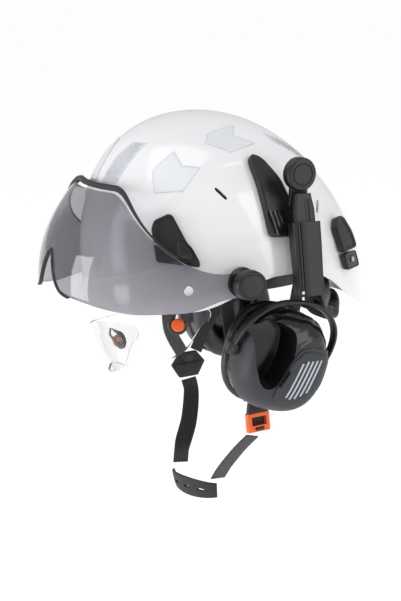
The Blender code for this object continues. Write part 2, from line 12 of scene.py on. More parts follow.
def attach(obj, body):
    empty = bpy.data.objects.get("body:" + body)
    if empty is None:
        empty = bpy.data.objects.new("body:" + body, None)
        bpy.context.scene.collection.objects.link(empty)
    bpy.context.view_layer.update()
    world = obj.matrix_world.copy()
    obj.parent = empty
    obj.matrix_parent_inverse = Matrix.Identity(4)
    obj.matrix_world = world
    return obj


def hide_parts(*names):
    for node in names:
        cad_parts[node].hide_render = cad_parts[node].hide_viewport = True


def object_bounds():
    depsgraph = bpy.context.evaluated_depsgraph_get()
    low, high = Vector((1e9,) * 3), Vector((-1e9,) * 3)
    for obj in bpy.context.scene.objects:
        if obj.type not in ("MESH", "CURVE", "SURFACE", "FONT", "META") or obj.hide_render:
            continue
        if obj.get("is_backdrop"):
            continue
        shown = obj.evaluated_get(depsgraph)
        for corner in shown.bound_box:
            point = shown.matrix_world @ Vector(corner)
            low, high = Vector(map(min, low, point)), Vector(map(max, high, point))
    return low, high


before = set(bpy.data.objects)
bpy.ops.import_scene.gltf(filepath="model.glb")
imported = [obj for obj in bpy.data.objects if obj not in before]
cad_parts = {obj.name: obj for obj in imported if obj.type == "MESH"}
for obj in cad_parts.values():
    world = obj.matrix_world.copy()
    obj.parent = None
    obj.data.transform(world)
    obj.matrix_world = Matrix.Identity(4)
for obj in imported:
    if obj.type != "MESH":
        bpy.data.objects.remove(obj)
bpy.ops.object.select_all(action="DESELECT")
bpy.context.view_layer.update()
MM = 0.001
SIDES = ((1, "left"), (-1, "right"))

# %% [markdown]
# ## Camera, floor and light
# The camera stands beside the wearer's left cheek, a little above eye level. A long lens keeps the helmet
# from looking stretched. Three soft panels and a bright room give the white shell its shape, and the
# panel in front of the wearer shows as a bright patch in the visor.

# %% The camera
AIM = Vector((0, 0, 0))
camera_data = bpy.data.cameras.new("camera")
camera = bpy.data.objects.new("camera", camera_data)
bpy.context.scene.collection.objects.link(camera)
azimuth, elevation = math.radians(62), math.radians(12)
level = math.cos(elevation)
away = Vector((math.sin(azimuth) * level, -math.cos(azimuth) * level, math.sin(elevation)))
turn = away.to_track_quat("Z", "Y").to_matrix() @ Matrix.Rotation(math.radians(-2), 3, "Z")
camera.matrix_world = Matrix.Translation(AIM + away * 1.5) @ turn.to_4x4()
camera_data.lens = 91.65
camera_data.shift_x = -0.037
camera_data.shift_y = -0.069
bpy.context.scene.camera = camera
print("camera at", [round(c, 3) for c in camera.location])

# %% The room and its lights
world = bpy.data.worlds.new("room")
bpy.context.scene.world = world
world.use_nodes = True
world.node_tree.nodes["Background"].inputs["Color"].default_value = (1.0, 1.0, 1.0, 1)
world.node_tree.nodes["Background"].inputs["Strength"].default_value = 0.95
sky = world.node_tree
seen = sky.nodes.new("ShaderNodeLightPath")
level = sky.nodes.new("ShaderNodeMapRange")
level.inputs["To Min"].default_value = 0.62
level.inputs["To Max"].default_value = 0.97
sky.links.new(seen.outputs["Is Camera Ray"], level.inputs["Value"])
sky.links.new(level.outputs["Result"], sky.nodes["Background"].inputs["Strength"])
bpy.context.scene.view_settings.view_transform = "Standard"


def soft_panel(name, place, size_x, size_y, power):
    """A rectangular lamp that faces the helmet."""
    lamp = bpy.data.lights.new(name, "AREA")
    lamp.shape = "RECTANGLE"
    lamp.size, lamp.size_y, lamp.energy = size_x, size_y, power
    item = bpy.data.objects.new(name, lamp)
    bpy.context.scene.collection.objects.link(item)
    item.location = place
    item.rotation_euler = Vector(place).to_track_quat("Z", "Y").to_euler()
    item.visible_camera = False


soft_panel("front_panel", (-0.18, -1.25, 0.02), 0.42, 0.62, 5)
soft_panel("top_panel", (0.5, -0.4, 1.5), 1.4, 1.0, 7)
soft_panel("side_panel", (1.5, 0.9, 0.5), 0.5, 1.4, 5)

# %% [markdown]
# ## Helpers for shapes
# Most of this helmet is curved sheet: a shell, lenses, bands of webbing. A grid is added, and each of its
# corners is moved to its place on the curve. A grid rolled into a tube makes a bar, a strap or a turned knob.
# Modifiers then give a sheet its thickness and round its edges, and they are applied at once.

# %% Curved sheets and tubes


def sheet(name, across, up, place):
    """A grid laid on a curved form. place(s, t) gives millimetres for s and t from 0 to 1."""
    bpy.ops.object.select_all(action="DESELECT")
    bpy.ops.mesh.primitive_grid_add(x_subdivisions=across, y_subdivisions=up, size=1.0)
    piece = bpy.context.object
    piece.name = name
    piece.data.name = name
    for vertex in piece.data.vertices:
        vertex.co = Vector(place(vertex.co.x + 0.5, vertex.co.y + 0.5)) * MM
    return piece


def only(piece):
    bpy.ops.object.select_all(action="DESELECT")
    piece.select_set(True)
    bpy.context.view_layer.objects.active = piece


def sealed(piece):
    """Merges a rolled grid's seam, closes its ends and turns its faces outwards."""
    only(piece)
    bpy.ops.object.mode_set(mode="EDIT")
    bpy.ops.mesh.select_mode(type="EDGE")
    bpy.ops.mesh.select_all(action="SELECT")
    bpy.ops.mesh.remove_doubles(threshold=0.00002)
    bpy.ops.mesh.select_all(action="DESELECT")
    bpy.ops.mesh.select_non_manifold()
    bpy.ops.mesh.fill_holes(sides=0)
    bpy.ops.mesh.select_all(action="SELECT")
    bpy.ops.mesh.normals_make_consistent(inside=False)
    bpy.ops.object.mode_set(mode="OBJECT")
    return piece


def outline_face(name, corners):
    """One flat face whose corners are given in the scene's units."""
    bpy.ops.object.select_all(action="DESELECT")
    bpy.ops.mesh.primitive_circle_add(vertices=len(corners), radius=1.0, fill_type="NGON")
    piece = bpy.context.object
    piece.name = name
    piece.data.name = name
    for vertex, corner in zip(piece.data.vertices, corners):
        vertex.co = corner
    return piece


def oval(turn, power):
    """A point on a rounded square with half sides of 1. A power of 2 gives a circle."""
    c, k = math.cos(turn), math.sin(turn)
    return math.copysign(abs(c) ** (2 / power), c), math.copysign(abs(k) ** (2 / power), k)


def drop_faces(piece, wanted):
    """Deletes the faces for which wanted(face) is true."""
    only(piece)
    bpy.ops.object.mode_set(mode="EDIT")
    bpy.ops.mesh.select_mode(type="FACE")
    bpy.ops.mesh.select_all(action="DESELECT")
    bpy.ops.object.mode_set(mode="OBJECT")
    for face in piece.data.polygons:
        face.select = wanted(face)
    bpy.ops.object.mode_set(mode="EDIT")
    bpy.ops.mesh.delete(type="FACE")
    bpy.ops.object.mode_set(mode="OBJECT")
    return piece


def finish(piece, kind, **settings):
    """Adds a modifier, sets it and applies it."""
    only(piece)
    modifier = piece.modifiers.new(kind.lower(), kind)
    for key, value in settings.items():
        setattr(modifier, key, value)
    bpy.ops.object.modifier_apply(modifier=modifier.name)
    return piece


def smooth(piece, degrees=32):
    only(piece)
    bpy.ops.object.shade_smooth_by_angle(angle=math.radians(degrees))
    return piece


def rounded(piece, width, degrees=40, segments=2):
    """Rounds the edges sharper than an angle. width is in millimetres."""
    finish(piece, "BEVEL", width=width * MM, segments=segments, limit_method="ANGLE",
           angle_limit=math.radians(degrees), harden_normals=False)
    return smooth(piece)


def cut_away(piece, cutter):
    """Cuts one piece with another, which is then removed."""
    finish(piece, "BOOLEAN", object=cutter, operation="DIFFERENCE", solver="EXACT")
    bpy.data.objects.remove(cutter)
    return piece


def ramp(low, high, x):
    """Rises smoothly from 0 at low to 1 at high."""
    t = min(max((x - low) / (high - low), 0.0), 1.0)
    return t * t * (3 - 2 * t)


print("helpers ready")

# %% [markdown]
# Bars and straps follow a smooth path. The path runs through a few points, and the bar's outline at each step
# is a rounded rectangle. Turned pieces, such as knobs, are a profile of distance and radius swept round an
# axis.

# %% Bars and turned pieces


def on_path(points, s):
    """A point on the smooth curve through a list of points, with s from 0 to 1."""
    reach = min(max(s, 0.0), 1.0) * (len(points) - 1)
    i = min(int(reach), len(points) - 2)
    t = reach - i
    p1, p2 = Vector(points[i]), Vector(points[i + 1])
    p0 = Vector(points[i - 1]) if i > 0 else p1 * 2 - p2
    p3 = Vector(points[i + 2]) if i + 2 < len(points) else p2 * 2 - p1
    return (p1 * 2 + (p2 - p0) * t + (p0 * 2 - p1 * 5 + p2 * 4 - p3) * t * t
            + (p1 * 3 - p0 - p2 * 3 + p3) * t**3) * 0.5


def bar(name, points, wide, width, thick, steps=40, around=24, power=5.0):
    """A bar along a path. wide is the direction of its width; width and thick may vary with s."""
    def outline(s, t):
        here = on_path(points, s)
        ahead = (on_path(points, s + 0.01) - on_path(points, s - 0.01)).normalized()
        side = Vector(wide(s) if callable(wide) else wide)
        side = (side - ahead * side.dot(ahead)).normalized()
        out = ahead.cross(side)
        x, y = oval(2 * math.pi * t, power)
        a = width(s) if callable(width) else width
        b = thick(s) if callable(thick) else thick
        return here + side * (x * a / 2) + out * (y * b / 2)
    return sealed(sheet(name, steps, around, outline))


def turned(name, start, axis, profile, around=48):
    """A knob or disc from a profile of (distance along the axis, radius)."""
    axis = Vector(axis).normalized()
    across = axis.orthogonal().normalized()
    up = axis.cross(across)

    def outline(s, t):
        step = min(int(round(s * (len(profile) - 1))), len(profile) - 1)
        reach, radius = profile[step]
        spoke = across * math.cos(2 * math.pi * t) + up * math.sin(2 * math.pi * t)
        return Vector(start) + axis * reach + spoke * radius
    return sealed(sheet(name, len(profile) - 1, around, outline))


print("bars and turned pieces ready")

# %% [markdown]
# ## Finishes
# Moulded plastic is never one flat colour. Its tone drifts a little, its gloss changes where hands rub it,
# and a fine grain from the mould catches the light. Each finish here mixes those three from noise on the
# piece's own coordinates, so the pattern stays on the piece when it moves.

# %% Moulded finishes


def moulded(name, colour, rough, grain, depth, spread=0.1, **sockets):
    """A moulded surface: colour drift, uneven gloss and a fine grain."""
    material = bpy.data.materials.new(name)
    material.use_nodes = True
    tree = material.node_tree
    shader = tree.nodes["Principled BSDF"]
    place = tree.nodes.new("ShaderNodeTexCoord")
    cloud = tree.nodes.new("ShaderNodeTexNoise")
    cloud.inputs["Scale"].default_value = 24
    cloud.inputs["Detail"].default_value = 4
    tone = tree.nodes.new("ShaderNodeValToRGB")
    for stop, lift in zip(tone.color_ramp.elements, (1 - spread, 1 + spread)):
        stop.color = (*[min(c * lift, 1.0) for c in colour], 1)
    tone.color_ramp.elements[0].position = 0.3
    tone.color_ramp.elements[1].position = 0.7
    gloss = tree.nodes.new("ShaderNodeMapRange")
    gloss.inputs["To Min"].default_value = rough * 0.8
    gloss.inputs["To Max"].default_value = min(rough * 1.25, 1.0)
    fine = tree.nodes.new("ShaderNodeTexNoise")
    fine.inputs["Scale"].default_value = grain
    bump = tree.nodes.new("ShaderNodeBump")
    bump.inputs["Strength"].default_value = 0.5
    bump.inputs["Distance"].default_value = depth * MM
    join = tree.links.new
    join(place.outputs["Object"], cloud.inputs["Vector"])
    join(place.outputs["Object"], fine.inputs["Vector"])
    join(cloud.outputs["Fac"], tone.inputs["Fac"])
    join(cloud.outputs["Fac"], gloss.inputs["Value"])
    join(tone.outputs["Color"], shader.inputs["Base Color"])
    join(gloss.outputs["Result"], shader.inputs["Roughness"])
    join(fine.outputs["Fac"], bump.inputs["Height"])
    join(bump.outputs["Normal"], shader.inputs["Normal"])
    for socket, value in sockets.items():
        shader.inputs[socket.replace("_", " ")].default_value = value
    return material


WHITE = moulded("gloss_white_shell", (0.84, 0.84, 0.86), 0.16, 900, 0.01, 0.012, Coat_Weight=0.5,
                Coat_Roughness=0.06)
BLACK = moulded("black_moulding", (0.009, 0.009, 0.010), 0.38, 1500, 0.05, 0.25)
GREY = moulded("soft_grey_moulding", (0.024, 0.0255, 0.031), 0.5, 2200, 0.06, 0.12)
GLOSS = moulded("black_gloss_moulding", (0.008, 0.008, 0.009), 0.16, 500, 0.03, 0.3)
RUBBER = moulded("black_rubber", (0.013, 0.013, 0.014), 0.55, 2600, 0.09, 0.2)
ORANGE = moulded("orange_moulding", (1.0, 0.13, 0.008), 0.34, 1400, 0.03, 0.06)
STEEL = moulded("stud_steel", (0.62, 0.62, 0.64), 0.25, 1800, 0.02, 0.08, Metallic=1.0)
FOAM = moulded("liner_foam", (0.035, 0.035, 0.038), 0.85, 420, 0.5, 0.25)
MARKING = moulded("pale_marking", (0.42, 0.47, 0.52), 0.45, 900, 0.03, 0.2)
print("moulded finishes:", len(bpy.data.materials))

# %% [markdown]
# The visor and the eyeshield are clear plastic. Light goes through them and bends very little. The visor's
# tint is a neutral grey with a touch of mauve, a shade deeper in places. They cast no shadow here, because a
# path tracer would otherwise leave the shell behind them too dark.

# %% Clear finishes


def clear_plastic(name, tint, spread):
    material = moulded(name, tint, 0.02, 60, 0.002, spread, Transmission_Weight=1.0, IOR=1.42)
    return material


TINT = clear_plastic("tinted_visor", (0.37, 0.355, 0.385), 0.035)
CLEAR = clear_plastic("clear_eyeshield", (0.955, 0.965, 0.97), 0.006)
print("clear finishes ready")

# %% [markdown]
# Webbing is woven from thick yarns. Ribs run along the strap, and finer threads cross them. The ribs follow
# the strap's own layout, and the cross threads follow its height, because every strap here hangs nearly
# upright. The pads are covered in a knit with small cells, and the cushions in a thin leather-like skin.

# %% Woven and padded finishes


def woven(name, colour, ribs):
    material = moulded(name, colour, 0.72, 1800, 0.1, 0.3, Sheen_Weight=0.25)
    tree = material.node_tree
    shader = tree.nodes["Principled BSDF"]
    place = tree.nodes["Texture Coordinate"]
    rib = tree.nodes.new("ShaderNodeTexWave")
    rib.bands_direction = "Y"
    rib.inputs["Scale"].default_value = ribs
    cross = tree.nodes.new("ShaderNodeTexWave")
    cross.bands_direction = "Z"
    cross.inputs["Scale"].default_value = 290
    cross.inputs["Distortion"].default_value = 0.6
    both = tree.nodes.new("ShaderNodeMath")
    both.operation = "MULTIPLY_ADD"
    both.inputs[1].default_value = 0.45
    bump = tree.nodes.new("ShaderNodeBump")
    bump.inputs["Strength"].default_value = 0.9
    bump.inputs["Distance"].default_value = 0.35 * MM
    join = tree.links.new
    join(place.outputs["UV"], rib.inputs["Vector"])
    join(place.outputs["Object"], cross.inputs["Vector"])
    join(cross.outputs["Fac"], both.inputs[0])
    join(rib.outputs["Fac"], both.inputs[2])
    join(both.outputs["Value"], bump.inputs["Height"])
    join(tree.nodes["Bump"].outputs["Normal"], bump.inputs["Normal"])
    join(bump.outputs["Normal"], shader.inputs["Normal"])
    return material


def celled(name, colour, rough, scale, depth, **sockets):
    """A knit or creased skin: small cells pressed into the surface."""
    material = moulded(name, colour, rough, 1500, 0.06, 0.2, **sockets)
    tree = material.node_tree
    shader = tree.nodes["Principled BSDF"]
    cells = tree.nodes.new("ShaderNodeTexVoronoi")
    cells.inputs["Scale"].default_value = scale
    bump = tree.nodes.new("ShaderNodeBump")
    bump.inputs["Strength"].default_value = 0.8
    bump.inputs["Distance"].default_value = depth * MM
    join = tree.links.new
    join(tree.nodes["Texture Coordinate"].outputs["Object"], cells.inputs["Vector"])
    join(cells.outputs["Distance"], bump.inputs["Height"])
    join(tree.nodes["Bump"].outputs["Normal"], bump.inputs["Normal"])
    join(bump.outputs["Normal"], shader.inputs["Normal"])
    return material


WEBBING = woven("black_webbing", (0.011, 0.011, 0.013), 9.0)
KNIT = celled("pad_knit", (0.045, 0.045, 0.05), 0.85, 480, 0.5, Sheen_Weight=0.3)
SKIN = celled("cushion_skin", (0.012, 0.012, 0.013), 0.34, 260, 0.12)
FILM = celled("reflective_film", (0.62, 0.65, 0.7), 0.3, 700, 0.05, Metallic=0.35)
FILM_BACK = moulded("film_backing", (0.74, 0.76, 0.79), 0.35, 900, 0.02, 0.05)
print("all finishes:", len(bpy.data.materials))

# %% [markdown]
# Every piece is given its finish and the body it rides on, and the model's parts that it stands for are
# hidden.

# %% Putting a piece in service


def serve(piece, material, body, nodes=()):
    piece.data.materials.clear()
    piece.data.materials.append(material)
    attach(piece, body)
    if nodes:
        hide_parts(*nodes)
    print(piece.name, len(piece.data.polygons), "faces on", body)
    return piece


# %% [markdown]
# ## The shell
# The shell is a dome with a rounded oval plan that leans forward. Its rim dips at the brow, rises over the
# ears and falls to the nape. A sphere is cut in half, and each of its corners is moved on to this form. The
# raised panel over the crown and the soft crease above the rim are part of the form, as they are in the
# mould.

# %% The shell's form
HALF_WIDTH, HALF_LENGTH = 112.0, 142.0
CROWN_Z, BELT_Z, LEAN = 148.0, -12.0, 0.21
CREASE = [(0, 92), (30, 62), (43, 74), (52, 86), (65, 101), (76, 105), (90, 106.5), (106, 107), (129, 103),
          (180, 92)]
SKIRT = [(0, -30), (35, -20), (54, 22), (62, 29), (70, 35.5), (84, 37), (98, 36), (110, 31), (140, 12),
         (180, 2)]


def plan_radius(angle, half_width, half_length):
    s, c = abs(math.sin(angle) / half_width), abs(math.cos(angle) / half_length)
    return (s**2.12 + c**2.12) ** (-1 / 2.12)


def shell_point(angle, z, inset=0.0):
    rise = max(z - BELT_Z, 0.0) / (CROWN_Z - inset - BELT_Z)
    shrink = max(1.0 - rise**1.87, 0.0) ** (1 / 2.09)
    radius = plan_radius(angle, HALF_WIDTH - inset, HALF_LENGTH - inset) * shrink
    return Vector((math.sin(angle) * radius, -math.cos(angle) * radius - LEAN * max(z, 0.0), z))


def shell_out(angle, z):
    around = shell_point(angle + 0.02, z) - shell_point(angle - 0.02, z)
    upward = shell_point(angle, z + 1.0) - shell_point(angle, z - 1.0)
    return around.cross(upward).normalized()


def rim_z(angle):
    turn = abs(math.degrees(math.atan2(math.sin(angle), math.cos(angle))))
    return 3.0 - 26.0 * (1 - ramp(48, 90, turn)) - 54.0 * ramp(103, 158, turn)


def line_z(line, angle):
    """The height of a crease at an angle round the shell."""
    turn = abs(math.degrees(math.atan2(math.sin(angle), math.cos(angle))))
    for (a, low), (b, high) in zip(line, line[1:]):
        if a <= turn <= b:
            share = ramp(a, b, turn) if b - a > 25 else (turn - a) / (b - a)
            return low + (high - low) * share
    return line[-1][1]


def relief(angle, z):
    """How far the surface stands proud: the crown panel, and the step above the skirt."""
    panel = 2.0 * ramp(-3.5, 3.5, z - line_z(CREASE, angle)) - 1.1
    groove = -0.9 * math.exp(-(((z - line_z(SKIRT, angle)) / 5.0) ** 2))
    skirt = -0.7 * ramp(-4, 10, line_z(SKIRT, angle) - z)
    fade = ramp(CROWN_Z - 3, CROWN_Z - 14, z) if z > CROWN_Z - 14 else 1.0
    return (panel * fade + 0.9 * (1 - fade) + (groove + skirt) * ramp(28, 52, abs(math.degrees(angle)))) * 0.9


print("rim at front, ear and nape:", [round(rim_z(math.radians(a)), 1) for a in (0, 95, 180)])

# %% Half a sphere becomes the shell


def dome(name, inset, lift, detail, sculpt):
    bpy.ops.object.select_all(action="DESELECT")
    bpy.ops.mesh.primitive_uv_sphere_add(segments=detail, ring_count=detail // 2, radius=1.0)
    piece = bpy.context.object
    piece.name = name
    piece.data.name = name
    bpy.ops.object.mode_set(mode="EDIT")
    bpy.ops.mesh.select_all(action="SELECT")
    bpy.ops.mesh.bisect(plane_co=(0, 0, -0.001), plane_no=(0, 0, 1), clear_inner=True)
    bpy.ops.object.mode_set(mode="OBJECT")
    for vertex in piece.data.vertices:
        x, y, z = vertex.co
        angle = math.atan2(x, -y)
        top = CROWN_Z - inset
        low = rim_z(angle) + lift
        share = 1 - max(z, 0.0)
        height = top - (top - low) * min(max(share, 0.0), 1.0)
        point = shell_point(angle, height, inset)
        if sculpt and height < top - 0.01:
            point += shell_out(angle, min(height, CROWN_Z - 0.6)) * relief(angle, height)
        vertex.co = point * MM
    bpy.ops.object.mode_set(mode="EDIT")
    bpy.ops.mesh.select_all(action="SELECT")
    bpy.ops.mesh.remove_doubles(threshold=0.00005)
    bpy.ops.object.mode_set(mode="OBJECT")
    return piece


shell = dome("shell_cover", 0.0, 0.0, 224, True)
finish(shell, "SOLIDIFY", thickness=2.8 * MM, offset=-1)
print("shell corners:", len(shell.data.vertices))

# %% [markdown]
# Two slots on each side let air in. The front pair slopes back and the rear pair slopes forward. Each is cut
# with a flat rod whose ends are round.

# %% The vents
for side, name in SIDES:
    for place, angle, z, slant in (("front", 72, 82, -0.7), ("rear", 130, 58, 0.7)):
        at = side * math.radians(angle)
        middle, out = shell_point(at, z), shell_out(at, z)
        up = Vector((0, slant, 1))
        up = (up - out * up.dot(out)).normalized()
        rod = bar(f"vent_rod_{place}_{name}", [middle - out * 9, middle + out * 9], up, 15.0, 3.4, 2, 24, 4.0)
        cut_away(shell, rod)
rounded(shell, 0.8, 50)
serve(shell, WHITE, "helmet", ["shell"])

# %% [markdown]
# Under the shell is a liner of stiff black foam. It has shallow channels from front to back that let air past
# the head. They are pressed into its inner side, so it isn't a plain bowl.

# %% The liner
liner = dome("liner_bowl", 5.2, 16.0, 160, False)
outer_corners = len(liner.data.vertices)
finish(liner, "SOLIDIFY", thickness=15.0 * MM, offset=-1)
for vertex in liner.data.vertices[outer_corners:]:
    x, z = vertex.co.x / MM, vertex.co.z / MM
    depth = sum(math.exp(-(((x - channel) / 6.0) ** 4)) for channel in (-46, -16, 16, 46))
    vertex.co -= vertex.normal * depth * 5.0 * ramp(40, 70, z) * MM
rounded(liner, 1.6, 45)
serve(liner, FOAM, "helmet", ["foam_liner"])

# %% [markdown]
# ## Pieces that lie on the shell
# The clips, the ear muff brackets and the reflective film all follow the shell. Each is modelled flat, with
# its own raised rim and sunk middle, and is then laid on the dome: its width becomes an angle, its height a
# height, and its thickness stands out along the surface.

# %% A flat moulding laid on the shell


def flat_plate(name, outline, corner, height, rim, sink):
    """A plate with round corners, a raised rim and a sunk middle, in millimetres on the ground plane."""
    piece = outline_face(name, [(x, y, 0) for x, y in outline])
    middle = (sum(x for x, y in outline) / len(outline), sum(y for x, y in outline) / len(outline))
    size = sum(math.dist(middle, corner_at) for corner_at in outline) / len(outline)

    def step(shrink, rise):
        """Extrudes the selected face in place, draws it in by millimetres and lifts it."""
        bpy.ops.mesh.extrude_region_move(TRANSFORM_OT_translate={"value": (0, 0, rise)})
        share = 1 - shrink / size
        bpy.ops.transform.resize(value=(share, share, 1), center_override=(*middle, 0))

    bpy.ops.object.mode_set(mode="EDIT")
    bpy.ops.mesh.select_all(action="SELECT")
    bpy.ops.mesh.bevel(offset=corner, offset_type="OFFSET", segments=5, affect="VERTICES", clamp_overlap=True)
    bpy.ops.mesh.select_all(action="SELECT")
    step(0, height * 0.85)
    step(rim * 0.25, height * 0.15)
    step(rim * 0.5, 0.0)
    step(rim * 0.25, -sink)
    for _ in range(3):
        step((size - rim) * 0.24, 0.0)
    bpy.ops.object.mode_set(mode="OBJECT")
    return piece


def laid_on_shell(piece, side, angle, z, lift):
    """Turns flat millimetres into the shell's own form, in metres."""
    middle = math.radians(angle)
    for vertex in piece.data.vertices:
        along, up, out = vertex.co
        at = side * (middle + along / plan_radius(middle, HALF_WIDTH, HALF_LENGTH))
        point = shell_point(at, z + up) + shell_out(at, z + up) * (out + lift)
        vertex.co = point * MM
    return sealed(piece)


print("flat mouldings ready")

# %% [markdown]
# A headlamp is strapped between four clips. Each front clip is a shield-shaped block with a rim, and a small
# catch stands on its lower edge. Each rear clip is in two parts with a round dot of pale plastic.

# %% The headlamp clips
FRONT_CLIP = [(-18, -19), (19, -25), (20, -20), (15, -7), (12, -4), (1, 21), (-3, 22.5), (-17, 17), (-20, 10)]
FRONT_TAB = [(1, -15), (14, -18), (14, -13), (9, -3), (2, 0)]
REAR_CLIP = [(-13, -15), (13, -15), (15, 0), (11, 16), (0, 17), (-11, 8)]
REAR_TAB = [(-11, -8), (11, -8), (11, 7), (-11, 7)]
for side, name in SIDES:
    for node, outline, angle, z, lift, height, sink, finish_of in (
            (f"front_clip_{name}", FRONT_CLIP, 45, 44, 0.2, 5.6, 1.4, BLACK),
            (f"front_tab_{name}", FRONT_TAB, 45, 44, 5.2, 4.4, 0.5, GLOSS),
            (f"rear_clip_{name}", REAR_CLIP, 135, 27, 0.2, 7.0, 1.6, BLACK),
            (f"rear_tab_{name}", REAR_TAB, 134, 3.5, 0.2, 6.2, 0.8, GLOSS)):
        plate = flat_plate(node + "_moulding", outline, 2.6 if "tab" in node else 4.0, height, 3.0, sink)
        laid_on_shell(plate, side, angle, z, lift)
        rounded(plate, 0.5, 30)
        serve(plate, finish_of, "helmet", [node])
    at = side * math.radians(134)
    dot = turned(f"rear_dot_{name}", shell_point(at, 3.5) + shell_out(at, 3.5) * 6.0, shell_out(at, 3.5),
                 [(0, 0), (0, 2.4), (0.7, 2.4), (1.0, 2.0), (1.0, 0)], 24)
    smooth(dot)
    serve(dot, MARKING, "helmet")

# %% [markdown]
# The ear muff's bracket is a tall curved plate with ribs at its foot. It carries the hub that the arm turns
# on.

# %% The ear muff brackets
RIB, RIB_STEP = [(-4, -33), (-1.6, -33), (-0.8, -12), (-3.2, -12)], 5
BRACKET = [(-10, -34), (22, -37), (28, -20), (31, 14), (25, 33), (14, 37), (6, 32), (-1, 8)]
for side, name in SIDES:
    plate = flat_plate(f"muff_bracket_{name}", BRACKET, 6.0, 6.6, 3.0, 0.9)
    laid_on_shell(plate, side, 95, 73, 0.3)
    rounded(plate, 0.6, 30)
    serve(plate, BLACK, "helmet", [f"muff_adapter_{name}"])
    for i in range(4):
        outline = [(x + i * RIB_STEP, y) for x, y in RIB]
        rib = flat_plate(f"bracket_rib_{name}_{i}", outline, 0.8, 1.4, 0.4, 0.1)
        laid_on_shell(rib, side, 95, 73, 6.2)
        smooth(rib)
        serve(rib, GLOSS, "helmet")

# %% [markdown]
# ## The reflective film
# Silver film is stuck round the crown panel: a strip beside the brow, two chevrons, and a strip to the back.
# The film has a honeycomb of small bright cells over a paler ground. One cell is modelled and repeated by
# three arrays. The cells outside the outline are taken away, and both layers are shrunk on to the shell.

# %% The film's outline and its cells
FILM_SHAPES = {
    "brow_strip": [(14.8, -97.7, 126.1), (30.7, -89.9, 126.1), (29.5, -108, 109), (28, -124, 87.5),
                   (5.4, -127.8, 89.7),
                   (8, -114, 110)],
    "front_chevron": [(52.6, -74.5, 119.5), (52, -97.2, 103.4), (62.5, -101.2, 84), (76.1, -78.7, 85.2),
                      (72.1, -57.5, 104.4), (64.0, -72.4, 106.5)],
    "rear_chevron": [(40.8, -4.9, 136.1), (50.3, -38.7, 131.6), (58.3, -45.3, 123.8), (68.7, -24.1, 114.5),
                     (60.4, 6.1, 119.1), (54.4, -13.7, 127.9)],
    "rear_strip": [(41, 22, 128), (43, 52, 121), (38, 84, 96), (50, 82, 88), (54, 55, 108), (52, 30, 120)],
}


def inside(point, outline):
    """Whether a flat point lies inside an outline."""
    x, y = point
    hit = False
    for (x1, y1), (x2, y2) in zip(outline, outline[1:] + outline[:1]):
        if (y1 > y) != (y2 > y) and x < (x2 - x1) * (y - y1) / (y2 - y1) + x1:
            hit = not hit
    return hit


def film_piece(name, corners, side):
    corners = [Vector((c[0] * side, c[1], c[2])) for c in corners]
    middle = sum(corners, Vector()) / len(corners)
    out = sum(((a - middle).cross(b - middle) for a, b in zip(corners, corners[1:] + corners[:1])), Vector())
    out = out.normalized() if out.normalized().dot(middle) > 0 else -out.normalized()
    right = Vector((0, 0, 1)).cross(out).normalized()
    up = out.cross(right)
    flat = [((c - middle).dot(right), (c - middle).dot(up)) for c in corners]
    turn = Matrix((right, up, out)).transposed()
    bpy.ops.object.select_all(action="DESELECT")
    bpy.ops.mesh.primitive_circle_add(vertices=len(flat), radius=1.0, fill_type="NGON")
    ground = bpy.context.object
    for vertex, (x, y) in zip(ground.data.vertices, flat):
        vertex.co = (x, y, 0)
    bpy.ops.object.mode_set(mode="EDIT")
    bpy.ops.mesh.select_all(action="SELECT")
    bpy.ops.mesh.quads_convert_to_tris()
    bpy.ops.mesh.subdivide(number_cuts=11)
    bpy.ops.object.mode_set(mode="OBJECT")
    bpy.ops.object.select_all(action="DESELECT")
    bpy.ops.mesh.primitive_circle_add(vertices=6, radius=1.7, fill_type="NGON")
    cells = bpy.context.object
    span = int(max(max(abs(x), abs(y)) for x, y in flat) / 2.0) + 2
    for vertex in cells.data.vertices:
        vertex.co += Vector((-3.4 * span, -3.0 * span, 0))
    finish(cells, "ARRAY", count=2 * span, use_relative_offset=False, use_constant_offset=True,
           constant_offset_displace=(3.4, 0, 0))
    finish(cells, "ARRAY", count=2, use_relative_offset=False, use_constant_offset=True,
           constant_offset_displace=(1.7, 3.0, 0))
    finish(cells, "ARRAY", count=span, use_relative_offset=False, use_constant_offset=True,
           constant_offset_displace=(0, 6.0, 0))
    drop_faces(cells, lambda face: not all(inside(cells.data.vertices[i].co.xy, flat) for i in face.vertices))
    for piece, gap in ((ground, 0.25), (cells, 0.4)):
        for vertex in piece.data.vertices:
            vertex.co = (middle + turn @ vertex.co + out * 2) * MM
        finish(piece, "SHRINKWRAP", target=shell, wrap_method="NEAREST_SURFACEPOINT",
               wrap_mode="OUTSIDE_SURFACE",
               offset=gap * MM)
        smooth(piece, 60)
    ground.name, cells.name = f"film_{name}_ground", f"film_{name}_cells"
    finish(ground, "SOLIDIFY", thickness=0.2 * MM, offset=1)
    return ground, cells


for side, side_name in SIDES:
    for shape, corners in FILM_SHAPES.items():
        ground, cells = film_piece(f"{shape}_{side_name}", corners, side)
        serve(ground, FILM_BACK, "helmet")
        serve(cells, FILM, "helmet")

# %% [markdown]
# ## The tinted visor
# The visor is one thick curved sheet that turns on a knob at each side. Seen from above it is part of an
# oval, and from the side it curls in towards the shell. Its top edge sweeps down to the knobs, and a notch
# clears the nose. A sheet is laid on this form, given its wall, and its edges are rounded so that they catch
# the light.

# %% The visor's form
VISOR_AXIS = Vector((0, -41, 3))
VISOR_TOP = 86.0


def visor_edge_high(turn):
    return 14.0 + (VISOR_TOP - 14.0) * (1 - ramp(20, 84, abs(turn)))


def visor_edge_low(turn):
    turn = abs(turn)
    return -4.0 - 14.0 * ramp(8, 52, turn) + 9.0 * ramp(66, 84, turn) + 38.0 * math.exp(-((turn / 7.2) ** 2))


